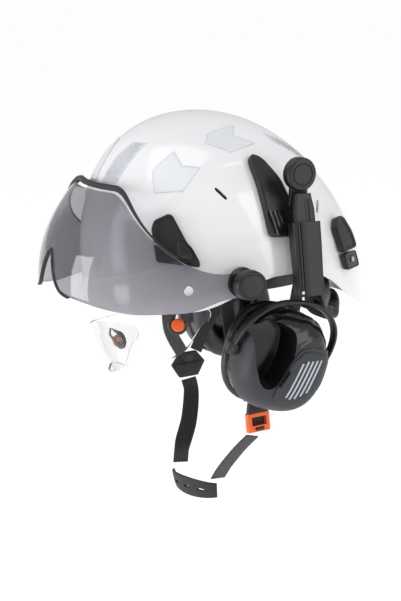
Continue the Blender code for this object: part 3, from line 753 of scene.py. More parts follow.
def visor_point(turn, z, outset=0.0):
    angle = math.radians(turn)
    rise = min(max((z + 10.0) / (VISOR_TOP + 10.0), 0.0), 1.2)
    reach = 145.0 - 46.0 * rise**2.4 + outset
    wide = 121.0 - 9.0 * rise**3 + outset
    return Vector((math.sin(angle) * wide, VISOR_AXIS.y - math.cos(angle) * reach, z))


# %% [markdown]
# The notch is narrow, so the sheet needs corners close together in the middle. It takes small steps near the
# nose, and wider ones towards the knobs.

# %% The visor sheet


def visor_turn(s):
    x = s * 2 - 1
    return 93.0 * (0.45 * x + 0.55 * x * abs(x))


def visor_form(s, t):
    at = visor_turn(s)
    low, high = visor_edge_low(at), visor_edge_high(at)
    if abs(at) > 87:
        squeeze = 3.5 * ramp(87, 93, abs(at))
        low, high = low + squeeze, high - squeeze
    return visor_point(at, low + (high - low) * t)


visor = sheet("visor_sheet", 170, 30, visor_form)
finish(visor, "SOLIDIFY", thickness=2.1 * MM, offset=-1)
sealed(visor)
rounded(visor, 0.55, 50)
serve(visor, TINT, "visor", ["visor_lens"])
visor.visible_shadow = False

# %% [markdown]
# A rubber strip caps the visor's top edge and seals it against the shell. It is thickest over the brow and
# thins out towards the sides. A thin rubber edge also lines the nose notch. Both are bars that follow the
# visor's edge.

# %% The rubber edges


def top_strip(name, inner, outer, tall):
    def outline(s, t):
        at = -64 + 128 * s
        size = 0.38 + 0.62 * (1 - ramp(26, 62, abs(at)))
        z = visor_edge_high(at) + 0.6
        x, y = oval(2 * math.pi * t, 4.0)
        middle = visor_point(at, z + tall * size / 2, (outer - inner * size) / 2)
        out = (visor_point(at, z, 1.0) - visor_point(at, z, 0.0)).normalized()
        return middle + Vector((0, 0, 1)) * (y * tall * size / 2) + out * (x * (outer + inner * size) / 2)
    return sealed(sheet(name, 96, 16, outline))


strip = smooth(top_strip("visor_top_strip", 4.2, 0.9, 5.2))
serve(strip, RUBBER, "visor", ["visor_trim"])


def notch_path(s):
    at = -17 + 34 * s
    point = visor_point(at, visor_edge_low(at), -1.05)
    along = visor_point(at + 0.4, visor_edge_low(at + 0.4)) - visor_point(at - 0.4, visor_edge_low(at - 0.4))
    down = along.cross(Vector((0, -1, 0))).normalized()
    return point + (down if down.z < 0 else -down) * 0.9


nose = bar("nose_edging", [notch_path(i / 30) for i in range(31)], (0, -1, 0), 3.8, 2.4, 110, 16, 4.0)
serve(smooth(nose), RUBBER, "visor", ["nose_trim"])

# %% [markdown]
# The knobs clamp the visor. Each has a broad oval cap with a fine groove round its face, over a disc that the
# shell carries. A small bright stud holds the visor in front of the cap.

# %% The knobs, their discs and the studs
KNOB = [(0, 0), (0, 14.4), (0.4, 15.2), (1.4, 15.9), (7.6, 15.5), (9.2, 14.8), (10.0, 13.6), (10.2, 12.6),
        (9.7, 12.2), (9.7, 11.7), (10.3, 11.2), (10.5, 9.0), (10.5, 0)]
for side, name in SIDES:
    cap = turned(f"visor_cap_{name}", (side * 122.6, -41, 3), (side, 0, 0), KNOB)
    for vertex in cap.data.vertices:
        vertex.co.z = 0.003 + (vertex.co.z - 0.003) * 0.88
    serve(smooth(cap), BLACK, f"knob_{name}", [f"visor_knob_{name}"])
    disc = turned(f"visor_disc_{name}", (side * 117.4, -41, 3), (-side, 0, 0),
                  [(0, 0), (0, 11.2), (1.0, 12.0), (2.6, 13.4), (3.4, 14.0), (6.4, 14.0), (7.0, 13.5),
                   (7.0, 0)])
    serve(smooth(disc), BLACK, "helmet", [f"visor_pivot_{name}"])
    at = visor_point(side * 68, 3.0, 0.2)
    out = Vector((side * 0.97, -0.25, 0)).normalized()
    stud = turned(f"visor_stud_{name}", at, out, [(0, 0), (0, 4.0), (0.6, 4.4), (1.3, 4.3), (1.7, 3.8),
                                                  (1.5, 2.4),
                  (1.2, 2.2), (1.2, 0)], 32)
    serve(smooth(stud), STEEL, "visor")

# %% [markdown]
# ## The clear eyeshield
# Below the visor hangs a clear wrap-round lens. It is held by a teardrop arm at each side, with an orange
# button through it. Here its right side has come off its hook, so the lens hangs lower on that side. It is
# modelled level and then turned into its place.

# %% The lens
LENS_WIDE, LENS_REACH, LENS_Y, BUTTON_Z = 76.0, 95.0, -33.2, -40.5


def lens_point(turn, z, outset=0.0):
    angle = math.radians(turn)
    return Vector((math.sin(angle) * (LENS_WIDE + outset),
                   LENS_Y - math.cos(angle) * (LENS_REACH + outset) - (z - BUTTON_Z) * 0.18, z))


def lens_button(side):
    angle = math.radians(side * 58.0)
    slope = -math.cos(angle) / LENS_REACH
    return lens_point(side * 58.0, BUTTON_Z), Vector((math.sin(angle) / LENS_WIDE, slope,
                                                      slope * 0.18)).normalized()


LEFT_BUTTON = lens_button(1)[0]
HUNG = (Matrix.Translation(LEFT_BUTTON) @ Matrix.Rotation(math.radians(4.5), 4, "Z")
        @ Matrix.Rotation(math.radians(-18.5), 4, "Y") @ Matrix.Translation(-LEFT_BUTTON))


def lens_form(s, t):
    at = -76.0 + 152.0 * s
    end = ramp(42, 76, abs(at))
    low = BUTTON_Z - 29.0 + 8.0 * math.exp(-((at / 13.0) ** 2)) + 27.0 * end * end
    high = BUTTON_Z + 22.0 - 8.0 * end * end
    bulge = 3.0 * math.sin(math.pi * t) * ramp(66, 76, abs(at))
    return HUNG @ lens_point(at + math.copysign(bulge, at), low + (high - low) * t)


lens = sheet("eyeshield_sheet", 120, 26, lens_form)
finish(lens, "SOLIDIFY", thickness=1.9 * MM, offset=-1)
sealed(lens)
for side, name in SIDES:
    at, out = lens_button(side)
    hole = turned(f"button_hole_{name}", HUNG @ (at - out * 9), HUNG.to_3x3() @ out,
                  [(0, 0), (0, 6.6), (18, 6.6), (18, 0)])
    cut_away(lens, hole)
rounded(lens, 0.5, 50)
serve(lens, CLEAR, "shield", ["eyeshield_lens"])
lens.visible_shadow = False

# %% [markdown]
# Each arm is a flat teardrop with a raised rim round the button. The left arm's tail goes up under the rim.
# The right one's tail ends in the open hook.

# %% The arms and their buttons


def teardrop(centre, out, tail, long, radius, lift):
    across = out.cross(tail)
    points = []
    for i in range(25):
        at = math.radians(-205 + 230 * i / 24)
        points.append(centre + tail * (radius * math.sin(at)) + across * (radius * math.cos(at)) + out * lift)
    end = centre + tail * long + out * (lift - 4.0)
    return points + [end + across * 4.2 - tail * 1.6, end + across * 3.0, end - across * 3.0,
                     end - across * 4.2 - tail * 1.6]


for side, name in SIDES:
    at, out = lens_button(side)
    at, out = HUNG @ at, (HUNG.to_3x3() @ out).normalized()
    towards = Vector((0, 0.45, 1.0)) if side == 1 else Vector((0.55, -0.2, 0.5))
    tail = (towards - out * towards.dot(out)).normalized()
    long = 27.0 if side == 1 else 20.0
    loops = [teardrop(at, out, tail, long, radius, lift) for radius, lift in
             ((8.2, -6.2), (9.2, -5.6), (9.4, -3.9), (8.6, -3.2), (7.3, -3.2), (6.9, -3.9), (4.4, -3.9),
              (4.4, -6.2))]

    def ring(s, t, loops=loops):
        loop = loops[int(round(t * len(loops))) % len(loops)]
        return loop[int(round(s * len(loop))) % len(loop)]
    arm = sheet(f"shield_arm_{name}_moulding", len(loops[0]), len(loops), ring)
    sealed(arm)
    rounded(arm, 0.3, 40)
    serve(arm, BLACK, "shield_arm" if side == 1 else "shield_hook", [f"eyeshield_arm_{name}"])
    button = turned(f"shield_button_{name}_cap", at - out * 3.5, out,
                    [(0, 0), (0, 3.6), (1.7, 3.7), (1.8, 6.0),
                    (4.9, 6.1), (5.8, 5.8), (6.4, 5.0), (6.6, 4.2), (6.35, 3.8), (6.5, 3.2), (6.5, 0)], 40)
    serve(smooth(button), ORANGE, f"shield_button_{name}", [f"eyeshield_button_{name}"])

# %% [markdown]
# ## The ear muffs
# Each muff hangs on an arm from its hub and can swing on it. A sleeve slides on the arm, a bow turns at the
# sleeve's foot, and the cup tilts between the ends of the bow. Everything is modelled for the left side in
# the arm's own upright frame, and is then swung into place. For the right side it is mirrored first.

# %% The muffs' frames
SWING = {1: -3.0, -1: 10.0}
BOW_TURN = {1: -17.0, -1: 0.0}
ARM_DOWN = Vector((math.sin(math.radians(11)), 0, -math.cos(math.radians(11))))
ARM_ROOT = Vector((14.5, 0, -17.6))
HUB_CENTRE = Vector((99.0, 24.5, 95.0))
FOOT = ARM_ROOT + ARM_DOWN * 94 + Vector((0, 0, -1))


def hang(piece, side, below_foot):
    """Moves a piece from the left arm's frame, or the bow's, to its place on the helmet."""
    swing = Matrix.Rotation(math.radians(SWING[side]), 3, "X")
    bow = Matrix.Rotation(math.radians(SWING[side] + BOW_TURN[side]), 3, "X")
    flip = Vector((side, 1, 1))
    for vertex in piece.data.vertices:
        point = vertex.co / MM
        point = Vector((point.x * side, point.y, point.z))
        if below_foot:
            point = bow @ point + swing @ (FOOT * flip)
        else:
            point = swing @ point
        vertex.co = (point + HUB_CENTRE * flip) * MM
    return sealed(piece) if side == -1 else piece


print("slider's foot in the arm's frame:", [round(c, 1) for c in FOOT])

# %% [markdown]
# The hub is a thick disc with a shallow ring and a coin slot across its face. The arm has a long groove, and
# the sleeve has two rails along its front edge and a small screw at its foot.

# %% Hub, arm and sleeve
HUB = [(0, 0), (0, 11), (5, 11), (5, 15.0), (5.5, 15.5), (12.5, 15.5), (14.2, 14.4), (14.8, 13.0),
       (14.8, 10.6),
       (14.1, 10.2), (14.1, 9.6), (15.0, 9.2), (15.0, 5), (15.0, 0)]
for side, name in SIDES:
    hub = turned(f"hub_cap_{name}", (1, 0, 0), (1, 0, 0), HUB, 56)
    slot = bar("coin_slot", [(14.6, -8, -2), (14.6, 8, 2)], (1, 0, 0), 2.2, 1.6, 6, 12, 5.0)
    cut_away(hub, slot)
    smooth(hang(hub, side, False))
    serve(hub, BLACK, f"hub_{name}", [f"muff_hub_{name}"])
    arm = bar(f"arm_bar_{name}", [ARM_ROOT, ARM_ROOT + ARM_DOWN * 33, ARM_ROOT + ARM_DOWN * 66], (0, 1, 0),
              lambda s: 17 + 5 * ramp(0, 0.25, s), 6.4, 30, 40, 7.0)
    fork = bar(f"hub_fork_{name}", [(8.5, 0, -6), (8.0, 0, -18), (5.4, 0, -30)], (0, 1, 0), 18.5, 5.0, 12,
               24, 6.0)
    serve(rounded(hang(fork, side, False), 0.3, 50), BLACK, f"hub_{name}")
    groove = bar("arm_groove", [ARM_ROOT + ARM_DOWN * 5 + Vector((3.6, 2.5, 0)),
                 ARM_ROOT + ARM_DOWN * 60 + Vector((3.6, 2.5, 0))], (0, 1, 0), 4.5, 1.8, 6, 12, 4.0)
    cut_away(arm, groove)
    rounded(arm, 0.3, 50)
    serve(hang(arm, side, False), BLACK, f"arm_{name}", [f"muff_arm_{name}"])
    top = ARM_ROOT + ARM_DOWN * 26
    sleeve = bar(f"sleeve_body_{name}", [top, top + ARM_DOWN * 34, top + ARM_DOWN * 68], (0, 1, 0),
                 lambda s: 29.0 - 2.0 * ramp(0.1, 1.0, s), lambda s: 14.0 - 2.0 * ramp(0.15, 1.0, s), 40,
                 48, 7.0)
    bore = bar("sleeve_bore", [top - ARM_DOWN * 6, top + ARM_DOWN * 61], (0, 1, 0), 22.8, 7.8, 6, 24, 7.0)
    cut_away(sleeve, bore)
    for y in (-10.8, -8.0):
        rail = bar("sleeve_rail", [top + ARM_DOWN * -2 + Vector((6.9, y, 0)),
                   top + ARM_DOWN * 70 + Vector((5.9, y, 0))], (0, 1, 0), 1.3, 1.8, 6, 10, 3.0)
        cut_away(sleeve, rail)
    rounded(sleeve, 0.35, 50)
    serve(hang(sleeve, side, False), BLACK, f"slider_{name}", [f"muff_slider_{name}"])
    at = top + ARM_DOWN * 63 + Vector((5.7, -10.0, 0))
    screw = turned(f"sleeve_screw_{name}", at, (1, 0, 0), [(0, 0), (0, 1.7), (0.8, 1.7), (1.2, 1.3),
                                                           (1.2, 0.7),
                   (0.8, 0.6), (0.8, 0)], 20)
    serve(smooth(hang(screw, side, False)), STEEL, f"slider_{name}")

# %% [markdown]
# The bow is a band with a soft ridge, bent over the cup. Its ends carry round bosses, which the cup turns on.

# %% The bow
CUP_A, CUP_B, CUP_DROP, CUP_POWER = 45.0, 49.0, 63.0, 2.5
CUP_MIDDLE_X = 128.0


def bow_point(s):
    at = math.pi * s
    rise = max(math.sin(at), 0.0) ** 0.7
    return Vector((-25.0 * (1 - rise), -50.0 * math.cos(at), -CUP_DROP + (CUP_DROP - 5.8) * rise))


for side, name in SIDES:
    points = [(-25, -50, -CUP_DROP - 6)] + [bow_point(i / 24) for i in range(25)] + [(-25, 50, -CUP_DROP - 6)]
    bow = bar(f"bow_band_{name}", points, (1, 0, 0), lambda s: 10.5 - 3.0 * abs(s * 2 - 1) ** 2, 3.6, 110,
              28, 3.2)
    rounded(bow, 0.3, 60)
    serve(hang(bow, side, True), BLACK, f"yoke_{name}", [f"yoke_{name}"])
    for end, y in (("front", -1), ("rear", 1)):
        boss = turned(f"bow_boss_{end}_{name}", (-25, y * 46.5, -CUP_DROP), (0, y, 0),
                      [(0, 0), (0, 6.0), (4.2, 6.0), (5.2, 5.6), (5.6, 4.6), (5.6, 3.0), (5.0, 2.6),
                       (5.0, 0)], 32)
        serve(smooth(hang(boss, side, True)), BLACK, f"yoke_{name}")

# %% [markdown]
# The cup has two layers. The inner body is a glossy dome with a creased, leather-like skin. Over its lower
# part lies a matte cover with a deep rounded cut-out at its front, where the inner body is hollow.

# %% The cup's dome


def cup_dome(name, profile, around=112, up=44):
    """A dome on a rounded-oval plan from (x, share of the full size), open towards the head."""
    points = [Vector((x, share, 0)) for x, share in profile]

    def place(s, t):
        spot = on_path(points, t)
        y, z = oval(2 * math.pi * s, CUP_POWER)
        share = max(spot.y, 0.01)
        return Vector((spot.x - CUP_MIDDLE_X, y * CUP_A * share, z * CUP_B * share - CUP_DROP))
    return sheet(name, around, up, place)


COVER = [(100, 1.0), (108, 0.998), (117, 0.965), (125, 0.89), (131, 0.76), (134.5, 0.55), (135.6, 0.28),
         (135.8, 0.01)]
BODY = [(88, 0.955), (98, 0.96), (108, 0.955), (117, 0.925), (125, 0.845), (130.6, 0.71), (133.6, 0.5),
        (134.8, 0.25),
        (135.0, 0.01)]
NOTCH = [(-70, 70), (-70, 24), (-44, 22), (-41, 10), (-36, -10), (-28, -25), (-19, -29), (-11, -22),
         (-3, 4), (3, 15),
         (14, 19), (34, 19), (70, 17), (70, 70)]


def rod_along_x(name, outline, corner, low, high):
    """A prism along x from an outline of (y, z) about the cup's middle, with round corners."""
    piece = outline_face(name, [Vector((low - CUP_MIDDLE_X, y, z - CUP_DROP)) * MM for y, z in outline])
    bpy.ops.object.mode_set(mode="EDIT")
    bpy.ops.mesh.select_all(action="SELECT")
    bpy.ops.mesh.bevel(offset=corner * MM, offset_type="OFFSET", segments=6, affect="VERTICES",
                       clamp_overlap=True)
    bpy.ops.mesh.select_all(action="SELECT")
    bpy.ops.mesh.extrude_region_move(TRANSFORM_OT_translate={"value": ((high - low) * MM, 0, 0)})
    bpy.ops.object.mode_set(mode="OBJECT")
    return sealed(piece)


def creased(piece, depth):
    """Presses soft slanting creases into the upper part of a skin."""
    for vertex in piece.data.vertices:
        point = vertex.co / MM
        fold = Vector((point.x * 0.05, (point.y + point.z * 0.7) * 0.03, (point.z - point.y * 0.8) * 0.13))
        push = noise.noise(fold + Vector((3.1, 0.4, 8.2))) + 0.5 * noise.noise(fold * 2.3)
        vertex.co += vertex.normal * push * depth * MM
    return piece


covers = {}
for side, name in SIDES:
    cover = cup_dome(f"cup_cover_{name}_shell", COVER)
    drop_faces(sealed(cover), lambda face: face.center.x < (100.2 - CUP_MIDDLE_X) * MM
               and abs(face.normal.x) > 0.9)
    finish(cover, "SOLIDIFY", thickness=2.4 * MM, offset=-1)
    cut_away(cover, rod_along_x("notch_rod", NOTCH, 5.0, 80, 150))
    rounded(cover, 0.8, 50)
    covers[side] = serve(hang(cover, side, True), GREY, f"cup_{name}", [f"cup_cover_{name}"])
    body = sealed(cup_dome(f"cup_body_{name}_dome", BODY))
    creased(body, 0.9)
    hollow = rod_along_x("hollow_rod", [(-44, 20), (-41, -10), (-30, -26), (-18, -30), (-9, -22), (-2, 6),
                                        (-6, 30),
                                        (-30, 36)], 9.0, 104, 150)
    cut_away(body, hollow)
    rounded(body, 1.2, 50)
    serve(hang(body, side, True), GLOSS, f"cup_{name}", [f"cup_body_{name}"])

# %% [markdown]
# A raised plate lies on the cover's lower back part. A few slanting pale bars decorate it. Plate and bars are
# flat outlines that are projected on to the cover, so they follow its curve.

# %% The plate and its bars
PLATE_START = 14.0
BAR_LEAN = 0.22
BARS = ((6, 3, -31), (10.5, 6, -32), (15, 7, -30.5), (19.5, 8.5, -27), (24, 9.5, -23))
PLATE = [(-3, 1), (8, 14.5), (36, 14.5), (40.5, 6), (35, -16), (22, -33), (4, -41), (-12, -36), (-12, -20)]


def on_cover(name, outline, side, corner, gap, thick, cuts):
    """A thin plate from an outline of (y, z), projected on to the cover."""
    piece = outline_face(name, [Vector((PLATE_START, y, z - CUP_DROP)) * MM for y, z in outline])
    bpy.ops.object.mode_set(mode="EDIT")
    bpy.ops.mesh.select_all(action="SELECT")
    if corner:
        bpy.ops.mesh.bevel(offset=corner * MM, offset_type="OFFSET", segments=6, affect="VERTICES",
                       clamp_overlap=True)
        bpy.ops.mesh.select_all(action="SELECT")
    bpy.ops.mesh.quads_convert_to_tris()
    bpy.ops.mesh.subdivide(number_cuts=cuts)
    bpy.ops.object.mode_set(mode="OBJECT")
    hang(piece, side, True)
    finish(piece, "SHRINKWRAP", target=covers[side], wrap_method="PROJECT", use_project_x=True,
           use_negative_direction=side == 1, use_positive_direction=side == -1, offset=gap * MM)
    only(piece)
    bpy.ops.object.mode_set(mode="EDIT")
    bpy.ops.mesh.select_all(action="SELECT")
    bpy.ops.mesh.normals_make_consistent(inside=False)
    bpy.ops.object.mode_set(mode="OBJECT")
    facing = sum(face.normal.x * face.area for face in piece.data.polygons) * side
    if facing < 0:
        piece.data.flip_normals()
    finish(piece, "SOLIDIFY", thickness=thick * MM, offset=1)
    return piece


for side, name in SIDES:
    plate = on_cover(f"cover_plate_{name}", PLATE, side, 4.0, -0.3, 1.5, 7)
    rounded(plate, 0.5, 50)
    serve(plate, GREY, f"cup_{name}")
    for i, (y, top, low) in enumerate(BARS):
        outline = [(y + edge + z * BAR_LEAN, z) for edge, z in ((0, top), (1.9, top), (1.9, low), (0, low))]
        stripe = on_cover(f"plate_bar_{name}_{i}", outline, side, 0, 1.0, 0.4, 9)
        serve(smooth(stripe, 60), MARKING, f"cup_{name}")

# %% [markdown]
# ## The cushions and pads
# A cushion starts as a closed ring on the cup's plan. It is remeshed into even faces and inflated as cloth
# for a few frames, and the settled shape is kept. The pads under the crown and at the brow are made in the
# same way.

# %% Inflating a pad


def inflated(piece, voxel, pressure, most):
    """Blows a closed form up as cloth, then limits how far any point has moved, in millimetres."""
    finish(piece, "REMESH", mode="VOXEL", voxel_size=voxel * MM)
    start = [vertex.co.copy() for vertex in piece.data.vertices]
    cloth = piece.modifiers.new("cloth", "CLOTH")
    cloth.settings.use_pressure = True
    cloth.settings.uniform_pressure_force = pressure
    cloth.settings.effector_weights.gravity = 0.0
    cloth.point_cache.frame_start = 1
    cloth.point_cache.frame_end = 20
    for moment in range(1, 21):
        bpy.context.scene.frame_set(moment)
    only(piece)
    bpy.ops.object.modifier_apply(modifier="cloth")
    for vertex, was in zip(piece.data.vertices, start):
        move = vertex.co - was
        if move.length > most * MM:
            vertex.co = was + move.normalized() * most * MM
    bpy.context.scene.frame_set(1)
    finish(piece, "SUBSURF", levels=1, render_levels=1)
    return smooth(piece, 80)


RING = [(87.4, 0), (80, 0.5), (74, -3), (71.5, -9), (74, -15), (80, -18), (87.4, -17), (87.4, -8), (87.4, 0)]
for side, name in SIDES:
    def ring_point(s, t):
        step = int(round(t * (len(RING) - 1)))
        x, grow = RING[step]
        y, z = oval(2 * math.pi * s, CUP_POWER)
        return Vector((x - CUP_MIDDLE_X, y * (CUP_A + grow), z * (CUP_B + grow) - CUP_DROP))
    cushion = sealed(sheet(f"ear_cushion_{name}", 96, len(RING) - 1, ring_point))
    hang(cushion, side, True)
    inflated(cushion, 4, 3.0, 1.2)
    serve(cushion, SKIN, f"cup_{name}", [f"cup_cushion_{name}"])

# %% Crown pad and brow pad
CROWN_PAD = [(121.7, 0.1), (121.2, 20), (118.2, 40), (115.7, 43), (109.7, 40), (111.2, 28), (113.7, 16),
             (115.2, 0.1)]


def crown_pad_point(s, t):
    z, radius = CROWN_PAD[int(round(t * (len(CROWN_PAD) - 1)))]
    at = 2 * math.pi * s
    return Vector((radius * 0.8 * math.cos(at), -26.6 + radius * math.sin(at), z))


crown_pad = sealed(sheet("crown_cushion", 64, len(CROWN_PAD) - 1, crown_pad_point))
inflated(crown_pad, 4, 2.0, 0.8)
serve(crown_pad, KNIT, "helmet", ["crown_pad"])


def band_point(a, inset, z):
    """A point on the oval of the headband. Angle 0 is the brow."""
    at = math.radians(a)
    return Vector(((88 - inset) * math.sin(at), -(111 - inset) * math.cos(at), z))


brow = bar("brow_cushion", [band_point(a, 5.2, 1) for a in range(-58, 59, 4)], (0, 0, 1), 26.5, 5.0, 90, 20,
           3.0)
inflated(brow, 4, 2.0, 0.8)
serve(brow, KNIT, "helmet", ["brow_pad"])

# %% [markdown]
# ## The headband and its nape adjuster
# The band runs round the head, drops behind the ears and ends in two racks. A dial on the housing turns a
# pinion that draws the racks together. The dial has a ring of grips.

# %% Headband and nape
NAPE_Z = -60.0
BAND_END = 142


def band_drop(a):
    return NAPE_Z * ramp(122, 152, abs(a))


band = bar("headband_strip", [band_point(a, 0.9, band_drop(a)) for a in range(-BAND_END, BAND_END + 1, 4)],
           (0, 0, 1), lambda s: 28.0 * (1 + 0.3 * band_drop(BAND_END * (2 * s - 1)) / 60), 1.7, 240, 16, 6.0)
serve(smooth(band, 50), BLACK, "helmet", ["headband"])

HOUSING = [(108, 0.01), (108, 0.93), (109.2, 0.995), (115.4, 1.0), (116.6, 0.96), (117, 0.88), (117, 0.01)]


def housing_point(s, t):
    y, share = HOUSING[int(round(t * (len(HOUSING) - 1)))]
    x, z = oval(2 * math.pi * s, 3.2)
    return Vector((x * 28 * share, y, NAPE_Z + z * 15 * share))


housing = sealed(sheet("nape_housing_shell", 72, len(HOUSING) - 1, housing_point))
serve(smooth(housing, 40), BLACK, "helmet", ["nape_housing"])
DIAL = [(0, 0.01), (0, 12.5), (1.4, 13.9), (7.6, 13.4), (9.2, 12.2), (10, 10.8), (10, 8.4), (9.3, 8.0),
        (9.3, 0.01)]


def dial_point(s, t):
    reach, radius = DIAL[int(round(t * (len(DIAL) - 1)))]
    at = 2 * math.pi * s
    if radius > 12.6:
        radius -= 0.7 * (0.5 + 0.5 * math.cos(at * 16))
    return Vector((radius * math.cos(at), 117.35 + reach, NAPE_Z + radius * math.sin(at)))


dial = sealed(sheet("nape_dial_knob", 128, len(DIAL) - 1, dial_point))
serve(smooth(dial, 50), RUBBER, "dial", ["nape_dial"])

# %% [markdown]
# ## The straps
# Two webs on each side come down from the headband. On the right they meet in a folded hexagon of webbing,
# and on the left in the buckle. The chin webs run from there to the rubber chin guard.

# %% The side webs
GUARD, FOLD, BUCKLE = Vector((2, -35, -222)), Vector((-66, -9, -121)), Vector((72, -6.5, -146))
for side, name in SIDES:
    low = BUCKLE + Vector((-4, 2, 24)) if side == 1 else FOLD + Vector((1.6, 0, 14))
    for end, y in (("front", -36), ("rear", 44)):
        shift = math.copysign(7.6, y)
        path = [(side * 71, y, -17), (side * 67, 0.85 * y, -50), (side * 65, low.y + 0.35 * y + shift,
                                                                  low.z + 26),
                (low.x, low.y + 1.05 * shift, low.z)]
        web = bar(f"side_web_{end}_{name}", path, (0, 1, 0), 13.9, 1.5, 70, 16, 6.0)
        serve(smooth(web, 50), WEBBING, "helmet", [f"web_{end}_{name}"])

# %% [markdown]
# The fold is a hexagon of webbing with a triangular overlay, sewn along its edges. Each stitch is a tiny bar.

# %% The fold and its stitches


def slab(name, outline, corner, at, low, high):
    """A plate across x from an outline of (y, z) about a point, in millimetres."""
    piece = outline_face(name, [(at + Vector((low, y, z))) * MM for y, z in outline])
    bpy.ops.object.mode_set(mode="EDIT")
    bpy.ops.mesh.select_all(action="SELECT")
    bpy.ops.mesh.bevel(offset=corner * MM, offset_type="OFFSET", segments=3, affect="VERTICES",
                       clamp_overlap=True)
    bpy.ops.mesh.select_all(action="SELECT")
    bpy.ops.mesh.extrude_region_move(TRANSFORM_OT_translate={"value": ((high - low) * MM, 0, 0)})
    bpy.ops.object.mode_set(mode="OBJECT")
    sealed(piece)
    return rounded(piece, 0.25, 50)


HEXAGON = [(-19, 1), (-9.5, 13), (9.5, 13), (19, 1), (10.5, -13), (-10.5, -13)]
serve(slab("fold_hexagon", HEXAGON, 1.2, FOLD, -3.2, 0.0), WEBBING, "helmet", ["fold_right"])
serve(slab("fold_triangle", [(-15, 1.5), (15, 1.5), (0, -11.5)], 1.0, FOLD, -0.1, 1.1), WEBBING, "helmet")
serve(slab("fold_flap", [(-9, 12.4), (9, 12.4), (4, 3.0), (-4, 3.0)], 1.0, FOLD, -0.1, 0.9), WEBBING,
      "helmet")
seams = [((-11.5, 0.0), (11.5, 0.0)), ((11, -1.4), (1, -9.8)), ((-11, -1.4), (-1, -9.8))]
for i, (first, last) in enumerate(seams):
    for step in range(7):
        share = (step + 0.5) / 7
        y, z = (a + (b - a) * share for a, b in zip(first, last))
        reach = [(b - a) * 0.045 for a, b in zip(first, last)]
        stitch = bar(f"fold_stitch_{i}_{step}", [FOLD + Vector((1.1, y - reach[0], z - reach[1])),
                     FOLD + Vector((1.3, y, z)), FOLD + Vector((1.1, y + reach[0], z + reach[1]))],
                     (1, 0, 0), 0.5, 0.5, 4, 8, 2.0)
        serve(smooth(stitch), GREY, "helmet")

# %% The chin webs
start, end = FOLD + Vector((-1.4, 0, -15.4)), GUARD + Vector((-27, -8, 14))
right_path = [start, start + Vector((3, 1, -14)), (start + end) / 2 + Vector((2, 4, 0)),
              end + Vector((0, 3, 18)),
              end]
web = bar("chin_strap_right", right_path, (0, 1, 0), 16.8, 1.5, 80, 16, 6.0)
serve(smooth(web, 50), WEBBING, "chin", ["chin_web_right"])
start, end = GUARD + Vector((30, 4, 12)), BUCKLE + Vector((-1, -6, -13.6))
left_path = [start, start.lerp(end, 0.3) + Vector((0, -3, 0)), start.lerp(end, 0.7) + Vector((0, -3, 0)), end]
web = bar("chin_strap_left", left_path, (0, 1, 0), 16.8, 1.5, 80, 16, 6.0)
serve(smooth(web, 50), WEBBING, "chin", ["chin_web_left"])

# %% [markdown]
# The chin guard is a curved rubber cup with three slots. The buckle has an orange frame with a window,
# through which the web shows, and a black plug above it.

# %% Chin guard
YAW = Matrix.Rotation(math.radians(14), 3, "Z")


def guard_point(a, outward):
    at = math.radians(a)
    out = YAW @ Vector((0.6 * math.sin(at), -math.cos(at), 0)).normalized()
    return GUARD + YAW @ Vector((35 * math.sin(at), -18 * math.cos(at), 0)) + out * outward, out


guard = bar("chin_guard_cup", [guard_point(a, -1.2)[0] for a in range(-68, 69, 8)],
            lambda s: Vector((0, 0, 1)) + guard_point(-68 + 136 * s, 0)[1] * 0.2,
            lambda s: 21 - 6 * math.sin(math.radians(-68 + 136 * s)) ** 2, 3.2, 110, 32, 3.5)
for a in (-30, 0, 30):
    spot, out = guard_point(a, 0)
    along = guard_point(a + 1, 0)[0] - spot
    cut_away(guard, bar("guard_slot", [spot - out * 9, spot + out * 9], along, 9.0, 2.6, 4, 20, 3.0))
rounded(guard, 0.3, 50)
serve(guard, RUBBER, "chin", ["chin_guard"])

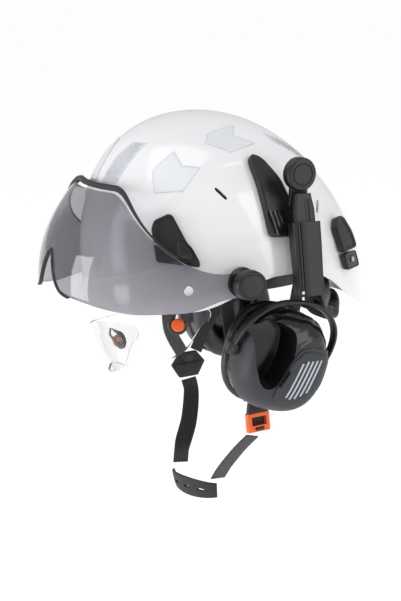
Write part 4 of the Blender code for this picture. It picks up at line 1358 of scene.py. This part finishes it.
# %% Buckle
BUCKLE_UP = Vector((-0.1, 0, 1)).normalized()
BUCKLE_OUT = Vector((BUCKLE_UP.z, 0, -BUCKLE_UP.x))
socket = bar("buckle_frame", [BUCKLE - BUCKLE_UP * 9, BUCKLE + BUCKLE_UP * 9], (0, 1, 0), 24, 7, 8, 32, 7.0)
window = [BUCKLE - BUCKLE_UP * 3, BUCKLE + BUCKLE_UP * 5.5]
cut_away(socket, bar("window_bar", window, (0, 1, 0), 16, 12, 4, 24, 8.0))
pocket = BUCKLE - BUCKLE_UP * 6.2
cut_away(socket, bar("pocket_bar", [pocket + BUCKLE_OUT * 0.4, pocket + BUCKLE_OUT * 6], (0, 1, 0), 9.8,
                     3.4, 4,
                     24, 6.0))
rounded(socket, 0.45, 50)
serve(socket, ORANGE, "helmet", ["buckle_socket"])
behind = BUCKLE - BUCKLE_OUT
inset = bar("buckle_window_web", [behind - BUCKLE_UP * 3.4, behind + BUCKLE_UP * 5.9], (0, 1, 0), 15.6, 1.6,
            8, 16, 6.0)
serve(smooth(inset, 50), WEBBING, "helmet")
plug = bar("buckle_tongue", [BUCKLE + BUCKLE_UP * 9.4, BUCKLE + BUCKLE_UP * 19], (0, 1, 0),
           lambda s: 22 - 4 * s, 6, 10, 32, 6.0)
for reach in (12.2, 14.2, 16.2):
    spot = BUCKLE + BUCKLE_UP * reach + BUCKLE_OUT * 3.1
    cut_away(plug, bar("grip_cut", [spot - Vector((0, 7, 0)), spot + Vector((0, 7, 0))], BUCKLE_UP, 0.9,
                       0.9, 4, 10, 2.0))
rounded(plug, 0.4, 50)
serve(plug, BLACK, "helmet", ["buckle_plug"])
button = bar("buckle_button_cap", [pocket + BUCKLE_OUT * 1.8, pocket + BUCKLE_OUT * 5.0], (0, 1, 0), 9, 2.6,
             4, 24,
             6.0)
rounded(button, 0.3, 50)
serve(button, BLACK, "buckle_press", ["buckle_button"])

# %% [markdown]
# ## What stays as it is
# The ear foam and the racks with their pinion sit inside, so they keep their simple forms and get materials
# only.

# %% Inner pieces
inner = {"cup_foam_left": FOAM, "cup_foam_right": FOAM, "dial_pinion": BLACK, "band_rack_left": BLACK,
         "band_rack_right": BLACK}
for node, material in inner.items():
    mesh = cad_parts[node].data
    mesh.materials.clear()
    mesh.materials.append(material)
print("inner pieces:", len(inner))

# %% [markdown]
# ## The floor
# A plain pale floor lies well below the helmet, which hangs as it would in a catalogue.

# %% Floor and size
FLOOR_SIZE, FLOOR_HEIGHT = 300, -0.42
bpy.ops.mesh.primitive_plane_add(size=FLOOR_SIZE, location=(0, 0, FLOOR_HEIGHT))
floor = bpy.context.object
floor.name = "floor"
pale = moulded("pale_floor", (0.9, 0.9, 0.9), 0.9, 40.0, 0.0, 0.02)
shader = next(node for node in pale.node_tree.nodes if node.type == "BSDF_PRINCIPLED")
shader.inputs["Emission Color"].default_value = (1, 1, 1, 1)
shader.inputs["Emission Strength"].default_value = 0.42
floor.data.materials.append(pale)
floor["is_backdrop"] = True
low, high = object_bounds()
